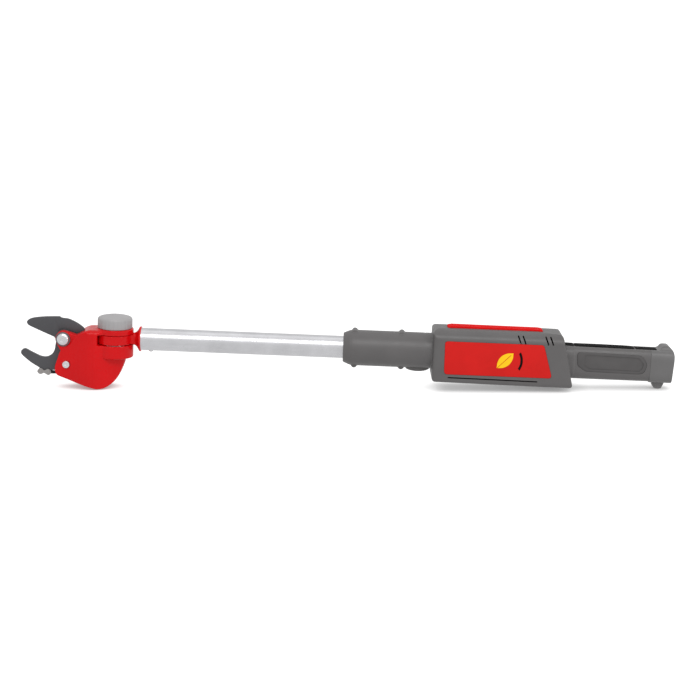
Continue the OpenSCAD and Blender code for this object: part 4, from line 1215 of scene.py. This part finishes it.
def coil(name, centre_x, low, high, radius, wire, turns):
    """Round wire wound along z, in outline millimetres."""
    around = 10
    along = 22 * turns
    vertices = []
    for k in range(along + 1):
        angle = math.tau * turns * k / along
        height = low + wire + (high - low - 2 * wire) * k / along
        for i in range(around):
            tilt = math.tau * i / around
            r = radius - wire + wire * math.cos(tilt)
            z = height + wire * math.sin(tilt)
            vertices.append((centre_x + r * math.cos(angle), r * math.sin(angle), z))
    faces = [[k * around + i, k * around + (i + 1) % around,
              (k + 1) * around + (i + 1) % around, (k + 1) * around + i]
             for k in range(along) for i in range(around)]
    faces += [list(range(around)), [along * around + i for i in range(around)]]
    return new_object(name, vertices, faces)


SPRING_WIRE_R = 0.45


def build_springs():
    """The trigger's and the snap pin's springs, wound as coils of round wire."""
    springs = (("trigger_spring", "trigger_coil", "handle", "trigger_press", "low", 5, 0.82),
               ("snap_spring", "snap_coil", "pole", "snap_press", "high", 7, 0.83))
    for node, name, body, joint, fixed_end, turns, keep in springs:
        low, high = span(node)
        x = (low.x + high.x) / 2
        spring = coil(name, x, low.z, high.z, high.x - x, SPRING_WIRE_R, turns)
        place_piece(spring, name, body, ZINC, "zinc_steel", node, angle=60)
        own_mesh(spring)


# ---------------------------------------------------------------- floor, lights, camera


FLOOR_GLOW = 0.92
SHADOW_REACH = 0.028


def studio_surface(name, colour, rough):
    """Pale surface that glows evenly, with a painted shadow where the glow fades close under the tool, soft
    and neutral.
    """
    look = Look(name)
    base = look.mix(look.span(look.noise(3, 2), 0.0, 1.0), tinted(colour, 0.99), colour)
    openness = look.nodes.new("ShaderNodeAmbientOcclusion")
    openness.inputs["Distance"].default_value = SHADOW_REACH
    openness.samples = 12
    # Painted shadow: ambient occlusion dims the glow wherever the tool is close above the floor.
    glow_with_painted_shadow = look.span(openness.outputs["AO"], 0.2, FLOOR_GLOW, 0.0, 0.8)
    look.shader.inputs["Emission Color"].default_value = (1, 1, 1, 1)
    look.links.new(glow_with_painted_shadow, look.shader.inputs["Emission Strength"])
    return look.finish(base, look.span(look.noise(8, 2), rough, rough + 0.05))


LUG_X = 418.2
FLOOR_SIZE = 400.0
FLOOR_CLEARANCE = 0.0006
ACROSS = Vector((0, 1, 0))


def build_floor():
    """Pale floor that the tool lies on, under the gearbox's bowl and the lug of the grip. It takes no
    part in bounce light, so that undersides stay dark."""
    bowl = Vector((BOWL[0] * MM, 0, cad_low.z))
    lug = Vector((LUG_X * MM, 0, AXIS_Z + CAP_LOW.z * MM))
    along = (lug - bowl).normalized()
    up = along.cross(ACROSS)
    base = bowl - up * FLOOR_CLEARANCE
    mesh = bpy.data.meshes.new("floor")
    corners = [base + (along * u + ACROSS * v) * FLOOR_SIZE for u, v in ((-1, -1), (1, -1), (1, 1), (-1, 1))]
    mesh.from_pydata(corners, [], [[0, 1, 2, 3]])
    floor = bpy.data.objects.new("floor", mesh)
    bpy.context.scene.collection.objects.link(floor)
    mesh.materials.append(studio_surface("pale_floor_painted_shadow", linear(150, 149, 149), 0.85))
    floor.visible_diffuse = False
    floor.visible_glossy = False
    return up


def add_light(name, place, target, size, power):
    data = bpy.data.lights.new(name, "AREA")
    data.shape = "RECTANGLE"
    data.size, data.size_y = size
    data.energy = power
    light = bpy.data.objects.new(name, data)
    bpy.context.scene.collection.objects.link(light)
    light.location = place
    light.rotation_mode = "QUATERNION"
    light.rotation_quaternion = (Vector(target) - Vector(place)).to_track_quat("-Z", "Y")


def build_lights():
    """White surroundings, a wide key light, a tall side light and a weak one above."""
    world = bpy.data.worlds.new("studio")
    world.use_nodes = True
    world.node_tree.nodes["Background"].inputs["Color"].default_value = (1, 1, 1, 1)
    world.node_tree.nodes["Background"].inputs["Strength"].default_value = 0.78
    bpy.context.scene.world = world
    add_light("key", (0.1, -1.3, 1.5), (0, 0, 0.05), (1.8, 0.6), 13)
    add_light("side", (1.0, -1.1, 0.45), (0, 0, 0.03), (0.3, 0.9), 2.5)
    add_light("top", (-0.1, 0.3, 1.6), (0, 0, 0.05), (1.8, 0.8), 1.5)


CAMERA_DISTANCE = 2.3
CAMERA_ELEVATION = 12.0
CAMERA_ROLL = -0.17
AIM_X = 0.002
AIM_UP = -0.0038
VIEW_WIDTH = 0.9415


def build_camera(up):
    """Level camera over the tilted floor, 12 degrees above it, looking square on to the tool's side."""
    elevation = math.radians(CAMERA_ELEVATION)
    forward = (ACROSS * math.cos(elevation) - up * math.sin(elevation)).normalized()
    up = Matrix.Rotation(math.radians(CAMERA_ROLL), 3, forward) @ up
    target = Vector((AIM_X, 0, AXIS_Z)) + up * AIM_UP
    data = bpy.data.cameras.new("camera")
    data.sensor_width = 36
    data.lens = data.sensor_width * CAMERA_DISTANCE / VIEW_WIDTH
    data.clip_start = 0.05
    data.clip_end = 1000
    camera = bpy.data.objects.new("camera", data)
    bpy.context.scene.collection.objects.link(camera)
    right = forward.cross(up).normalized()
    true_up = right.cross(forward)
    turn = Matrix((right, true_up, -forward)).transposed()
    camera.matrix_world = Matrix.Translation(target - forward * CAMERA_DISTANCE) @ turn.to_4x4()
    bpy.context.scene.camera = camera


dress_cad_nodes()
build_tube()
build_snap_button()
build_neck()
build_gearbox()
build_blade()
build_jaw()
build_pivot_bolt()
build_jaw_screw()
build_heel_link()
build_knob()
build_shells()
build_side_trim()
build_slot_shade_sheets()
build_top_strip()
build_roof_dark_strips()
build_end_cap()
build_trigger()
build_lock_lever()
build_springs()
floor_up = build_floor()
build_lights()
build_camera(floor_up)

bpy.context.scene.view_settings.view_transform = "Standard"
